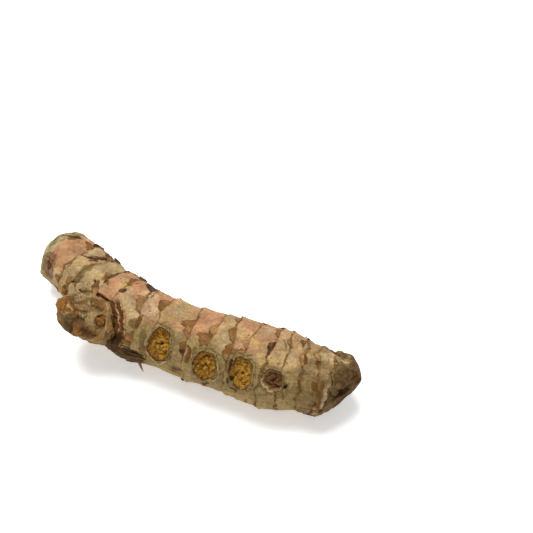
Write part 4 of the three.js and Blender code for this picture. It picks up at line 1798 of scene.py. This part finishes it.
def skin_finish():
    """The dry, grainy skin of the root."""
    finish = Finish("turmeric_skin")
    place = finish.place()
    fibres = finish.place(stretch=(0.22, 1.0, 1.0))
    broad = finish.noise(place, 9.0, 4.0)
    patchy = finish.noise(place, 3.2, 5.0, 0.7)
    ragged = finish.noise(place, 1.6, 4.0, 0.7)
    grain = finish.noise(place, 0.85, 4.0, 0.8)
    streak = finish.noise(fibres, 1.0, 4.0, 0.7)

    pink = finish.uneven(finish.value("pinkness"), broad, 1.6, -0.8)
    pink = finish.uneven(pink, patchy, 0.8, -0.4)
    colour = finish.coat(SKIN_CREAM, SKIN_PINK, pink, 0.15, 0.8)
    yellow = finish.noise(place, 4.0, 3.0, 0.6, 0.5)
    colour = finish.coat(colour, SKIN_YELLOW, yellow, 0.56, 0.66, 0.8)
    washed = finish.noise(place, 5.0, 4.0, 0.6, 0.8, 7.0)
    colour = finish.coat(colour, SKIN_WASHED, washed, 0.52, 0.64, 0.7)
    rosy = finish.noise(place, 4.4, 3.0, 0.6, 0.4, 13.0)
    colour = finish.coat(colour, SKIN_ROSY, rosy, 0.58, 0.7, 0.35)
    green = finish.uneven(finish.value("greenness"), patchy, 1.8, -1.0)
    colour = finish.coat(colour, SKIN_GREEN, green, 0.2, 0.9, 0.7)
    # Duller colour on the sides: partly the skin's own colour, partly painted shade.
    dull_and_shade = finish.uneven(finish.value("dullness_and_shade"), broad, 1.3, -0.65)
    dull_and_shade = finish.uneven(dull_and_shade, patchy, 0.7, -0.35)
    old = finish.uneven(finish.value("oldness"), patchy, 2.0, -1.15)
    dull_and_shade_colour = finish.coat(SKIN_DULL_AND_SHADE, SKIN_OLD, old, 0.0, 0.9)
    colour = finish.coat(colour, dull_and_shade_colour, dull_and_shade, 0.1, 1.0)
    # Paler underside: partly its own colour, partly painted light from below.
    colour = finish.coat(colour, SKIN_UNDER_PALE_AND_LIT, finish.value("underside_pale_and_lit"), 0.0, 1.0, 0.7)

    aged = finish.uneven(finish.value("oldness"), patchy, 1.2)
    colour = finish.coat(colour, SKIN_OLD, aged, 0.85, 1.65, 0.7)

    pale = finish.uneven(finish.value("pale_spot"), patchy, 1.0)
    colour = finish.coat(colour, SPOT_PALE, pale, 0.4, 1.0, 0.8)
    layer = finish.uneven(finish.value("peeled"), ragged, 0.5)
    colour = finish.shade(colour, layer, 0.2, 0.35, 0.92, 1.05)

    cap = finish.uneven(finish.value("young_cap"), ragged, 1.4)
    capped = finish.coat(CAP_OLIVE, SKIN_CAP, finish.value("raised"), -0.2, 0.14)
    colour = finish.coat(colour, capped, cap, 0.6, 0.85, 0.9)
    for spots, tint, most in (("olive_spot", SPOT_OLIVE, 0.85), ("bruise_spot", SPOT_BRUISE, 0.7)):
        field = finish.uneven(finish.value(spots), ragged, 1.2)
        colour = finish.coat(colour, tint, field, 0.55, 0.85, most)

    halo = finish.uneven(finish.value("scar_away"), patchy, 0.9)
    colour = finish.coat(colour, SKIN_OLD, halo, 2.0, 1.6, 0.25)

    worn = finish.uneven(finish.value("wornness"), patchy, 1.8, -1.25)
    cork = finish.coat(CORK_DARK, CORK_GREY, ragged, 0.38, 0.6)
    colour = finish.coat(colour, cork, worn, 0.3, 0.5)

    past = finish.uneven(finish.value("past_ring"), ragged, 1.6, -0.75)
    line = finish.sum("ABSOLUTE", past)
    strong = finish.rise(patchy, 0.42, 0.58, 0.1, 0.75)
    drawn = finish.sum("MULTIPLY", finish.rise(line, 0.5, 0.1), strong)
    colour = finish.mix(drawn, colour, RING_BROWN)

    wobble = finish.sum("MULTIPLY_ADD", ragged, 1.1, -0.55)
    brown = finish.sum("ADD", finish.value("brown_spot"), wobble)
    colour = finish.coat(colour, SPOT_BROWN, brown, -0.02, 0.12, 0.9)
    # Dark spots: partly stains, partly painted shade in the small hollows.
    dark = finish.sum("ADD", finish.value("dark_spot_and_hollow_shade"), wobble)
    colour = finish.coat(colour, SPOT_DARK, dark, 0.0, 0.3, 0.9)

    fine_wobble = finish.sum("MULTIPLY_ADD", ragged, 0.7, -0.35)
    drawn_lines = (
        ("brown_line", RING_BROWN, 0.12, 0.75),
        ("dark_line", SPOT_DARK, 0.1, 0.85),
        ("pale_line", SPOT_PALE, 0.1, 0.85),
    )
    for lines, tint, soft, most in drawn_lines:
        field = finish.sum("ADD", finish.value(lines), fine_wobble)
        colour = finish.coat(colour, tint, field, -soft, soft, most)

    gap = finish.uneven(finish.value("foot_gap"), ragged, 0.4)
    gap = finish.uneven(gap, patchy, 1.8, -0.9)
    folds = finish.value("foot_folds")
    torn = finish.sum("MULTIPLY", finish.rise(gap, 3.3, 2.7), folds)
    colour = finish.mix(torn, colour, FOLD_RED)
    streaky = finish.sum("MULTIPLY", finish.rise(streak, 0.5, 0.62), torn)
    colour = finish.mix(streaky, colour, SPOT_DARK)
    for fold_at in (1.7, 2.8):
        near_fold = finish.sum("ABSOLUTE", finish.sum("SUBTRACT", gap, fold_at))
        edge = finish.sum("MULTIPLY", finish.rise(near_fold, 0.2, 0.06), folds)
        broken = finish.sum("MULTIPLY", edge, finish.rise(ragged, 0.4, 0.55, 0.2, 0.9))
        colour = finish.mix(broken, colour, SKIN_CREAM)
    # Painted shade in the crevice where the knob meets the skin.
    colour = finish.coat(colour, SPOT_DARK, gap, 0.5, 0.3)

    speck = finish.rise(finish.cells(place, 2.4), 0.14, 0.07, 0.0, 0.7)
    colour = finish.mix(speck, colour, RING_BROWN)
    colour = finish.shade(colour, grain, 0.3, 0.68, 0.76, 1.2)
    # Painted shade in the low places of the fine relief, and painted highlight on its high places.
    colour = finish.shade(colour, finish.value("raised"), -0.3, 0.35, 0.8, 1.16)
    colour = finish.shade(colour, streak, 0.3, 0.7, 0.92, 1.07)

    roughness = finish.rise(patchy, 0.3, 0.7, 0.6, 0.8)
    normal = finish.bump(grain, 1.0, 0.6)
    normal = finish.bump(streak, 0.5, 0.5, normal)
    normal = finish.bump(ragged, 0.9, 0.9, normal)
    return finish.done(colour, roughness, normal, gloss=0.08)


skin_material = skin_finish()
skin_piece.data.materials.append(skin_material)
print("skin nodes:", len(skin_material.node_tree.nodes))

# %% [markdown]
# ## The finish of the scars
# The broken flesh is orange to mustard and coarse, like damp bread crumb, with darker pits. The
# rim is grey-brown cork. A scar that healed long ago is brown, with a paler ring.

# %% Scar flesh and cork
FLESH_BRIGHT = paint(206, 156, 62)
FLESH_ORANGE = paint(172, 120, 42)
FLESH_DARK = paint(98, 60, 18)
RIM_CORK = paint(150, 126, 80)
RIM_DARK = paint(66, 40, 16)
HEALED_PALE = paint(146, 120, 80)
HEALED_BROWN = paint(124, 86, 50)
LIP_PALE = paint(186, 160, 116)


def scar_finish():
    """Rough orange flesh inside a corky rim."""
    finish = Finish("broken_flesh")
    place = finish.place()
    crumb = finish.noise(place, 0.85, 4.0, 0.75, 0.4)
    pores = finish.cells(place, 0.65)
    patchy = finish.noise(place, 2.2, 4.0, 0.65)
    flesh = finish.coat(FLESH_ORANGE, FLESH_BRIGHT, crumb, 0.4, 0.58)
    flesh = finish.coat(flesh, FLESH_DARK, pores, 0.5, 0.75, 0.6)
    flesh = finish.coat(flesh, FLESH_DARK, patchy, 0.52, 0.38, 0.35)
    flesh = finish.coat(flesh, FLESH_DARK, crumb, 0.36, 0.28, 0.8)
    away = finish.uneven(finish.value("scar_away"), patchy, 0.5)
    flesh = finish.coat(flesh, FLESH_DARK, away, 0.4, 0.32)
    flesh = finish.coat(flesh, FLESH_DARK, away, 0.95, 1.16, 0.5)
    rim = finish.coat(RIM_DARK, RIM_CORK, crumb, 0.34, 0.46)
    colour = finish.coat(flesh, RIM_DARK, away, 1.16, 1.2, 0.9)
    colour = finish.coat(colour, rim, away, 1.22, 1.27)
    cracked = finish.rise(finish.sum("ABSOLUTE", finish.sum("SUBTRACT", away, 1.4)), 0.05, 0.02)
    cracked = finish.sum("MULTIPLY", cracked, finish.rise(crumb, 0.46, 0.56, 0.0, 0.8))
    colour = finish.mix(cracked, colour, RIM_DARK)
    healed = finish.coat(HEALED_BROWN, HEALED_PALE, away, 0.95, 1.1, 0.6)
    healed = finish.coat(healed, RIM_DARK, away, 1.19, 1.22, 0.9)
    healed = finish.coat(healed, RIM_CORK, away, 1.26, 1.3)
    healed = finish.coat(healed, RIM_DARK, crumb, 0.46, 0.34, 0.6)
    colour = finish.mix(finish.value("healed"), colour, healed)
    colour = finish.coat(colour, LIP_PALE, finish.value("lip"), 0.3, 0.7, 0.9)
    # Dark spots: partly stains, partly painted shade in the small hollows.
    dark = finish.uneven(finish.value("dark_spot_and_hollow_shade"), patchy, 0.8)
    colour = finish.coat(colour, RIM_DARK, dark, 0.45, 0.7, 0.9)
    roughness = finish.rise(crumb, 0.3, 0.7, 0.5, 0.8)
    normal = finish.bump(crumb, 1.0, 0.9)
    normal = finish.bump(pores, 0.8, 0.5, normal)
    return finish.done(colour, roughness, normal, gloss=0.1)


scar_material = scar_finish()
for piece in scar_pieces:
    piece.data.materials.append(scar_material)
print("scar nodes:", len(scar_material.node_tree.nodes))

# %% [markdown]
# ## The finish of the knob and buds
# The knob is browner than the root. Its side is tan and smooth, and its face is grey-brown and
# wrinkled. The buds are orange-brown.

# %% Knob and buds
KNOB_TAN = paint(162, 124, 76)
KNOB_FACE = paint(136, 108, 68)
KNOB_DARK = paint(88, 56, 26)
KNOB_ORANGE = paint(140, 90, 38)
KNOB_PALE = paint(174, 146, 100)
KNOB_BROWN = paint(112, 78, 38)
BUD_ORANGE = paint(140, 92, 40)


def knob_finish():
    """Tan collars and a grey-brown wrinkled face."""
    finish = Finish("knob_skin")
    place = finish.place()
    patchy = finish.noise(place, 3.0, 4.0, 0.65)
    ragged = finish.noise(place, 1.5, 4.0, 0.7)
    grain = finish.noise(place, 0.9, 4.0, 0.75)
    out = finish.uneven(finish.value("knob_out"), patchy, 3.0)
    colour = finish.coat(KNOB_TAN, KNOB_FACE, out, 5.6, 7.0)
    colour = finish.coat(colour, KNOB_BROWN, patchy, 0.5, 0.36, 0.5)
    painted = (
        ("pale_spot", KNOB_PALE, 0.8),
        ("brown_spot", KNOB_BROWN, 0.8),
        ("bruise_spot", KNOB_DARK, 0.6),
        ("orange_spot", KNOB_ORANGE, 0.85),
    )
    for spots, tint, most in painted:
        field = finish.uneven(finish.value(spots), ragged, 1.3)
        colour = finish.coat(colour, tint, field, 0.6, 0.95, most)
    wobble = finish.sum("MULTIPLY_ADD", ragged, 0.7, -0.35)
    for lines, tint in (("dark_line", KNOB_DARK), ("pale_line", KNOB_PALE)):
        field = finish.sum("ADD", finish.value(lines), wobble)
        colour = finish.coat(colour, tint, field, -0.12, 0.12, 0.8)
    wrinkle = finish.sum("MULTIPLY", finish.rise(grain, 0.5, 0.4), finish.value("wrinkled"))
    colour = finish.mix(finish.sum("MULTIPLY", wrinkle, 0.6), colour, KNOB_DARK)
    # Painted shade in the low places of the knob's relief, and painted highlight on its high places.
    colour = finish.shade(colour, finish.value("raised"), -0.35, 0.35, 0.62, 1.2)
    colour = finish.shade(colour, grain, 0.3, 0.72, 0.8, 1.15)
    normal = finish.bump(grain, 1.0, 0.5)
    normal = finish.bump(ragged, 0.8, 0.8, normal)
    return finish.done(colour, finish.rise(patchy, 0.3, 0.7, 0.6, 0.8), normal, gloss=0.1)


def bud_finish():
    """Orange-brown bud scales, darker in their folds."""
    finish = Finish("bud_scales")
    place = finish.place()
    patchy = finish.noise(place, 0.9, 4.0, 0.6)
    colour = finish.coat(KNOB_DARK, BUD_ORANGE, patchy, 0.35, 0.6)
    normal = finish.bump(patchy, 0.5, 0.3)
    return finish.done(colour, finish.rise(patchy, 0.3, 0.7, 0.5, 0.7), normal, gloss=0.08)


knob_piece.data.materials.append(knob_finish())
bud_material = bud_finish()
bud_piece.data.materials.append(bud_material)
knob_bud_piece.data.materials.append(bud_material)
print("knob and buds finished")

# %% [markdown]
# ## The finish of the papery remains
# The scales are brown and dry, with fine lengthwise fibres. Some are pale and thin, so that the
# skin nearly shows through, and some are almost black. Their tone is stored with each scale.

# %% Papery brown
PAPER_TONES = (paint(66, 36, 12), paint(132, 92, 48), paint(168, 130, 84))
SHEATH_TONES = (paint(62, 38, 14), paint(98, 70, 30), paint(142, 114, 66))
ROOTLET_TONES = (paint(120, 92, 54), paint(168, 142, 96))


def papery_finish(name, tones):
    """Dry brown fibres, dark to pale by the tone of the scale."""
    dark, brown, pale = tones
    finish = Finish(name)
    place = finish.place()
    fibres = finish.place(stretch=(0.2, 1.0, 1.0))
    streak = finish.noise(fibres, 0.8, 4.0, 0.7)
    patchy = finish.noise(place, 2.2, 4.0, 0.65)
    grain = finish.noise(place, 0.9, 3.0, 0.7, 0.0, 3.0)
    tone = finish.uneven(finish.value("tone"), patchy, 1.5, -0.75)
    colour = finish.coat(dark, brown, tone, 0.0, 0.35)
    colour = finish.coat(colour, pale, tone, 0.4, 0.9)
    colour = finish.shade(colour, streak, 0.3, 0.7, 0.66, 1.2)
    colour = finish.shade(colour, grain, 0.3, 0.7, 0.78, 1.16)
    edge = finish.uneven(finish.value("edge"), streak, 0.5)
    colour = finish.shade(colour, edge, 0.95, 1.25, 1.0, 0.7)
    normal = finish.bump(streak, 1.0, 0.5)
    normal = finish.bump(patchy, 0.8, 0.8, normal)
    return finish.done(colour, finish.rise(patchy, 0.3, 0.7, 0.55, 0.75), normal, gloss=0.1)


def rootlet_finish():
    """Pale tan rootlets with darker streaks."""
    finish = Finish("rootlet_skin")
    patchy = finish.noise(finish.place(), 0.8, 3.0, 0.6)
    colour = finish.coat(*ROOTLET_TONES, patchy, 0.35, 0.65)
    return finish.done(colour, 0.7, finish.bump(patchy, 0.5, 0.15))


scales_piece.data.materials.append(papery_finish("papery_remains", PAPER_TONES))
sheath_piece.data.materials.append(papery_finish("old_sheath", SHEATH_TONES))
rootlets_piece.data.materials.append(rootlet_finish())
print("papery finish on", scales_piece.name, "and", sheath_piece.name)

# %% [markdown]
# ## Tie the pieces to the imported model
# Every piece moves with the root, and the skin stands for the solid, which is hidden.

# %% Ride and replace
all_pieces = [skin_piece, *scar_pieces, knob_piece, bud_piece, knob_bud_piece]
all_pieces += [scales_piece, sheath_piece, rootlets_piece]
for piece in all_pieces:
    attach(piece, "root")
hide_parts("turmeric_root")
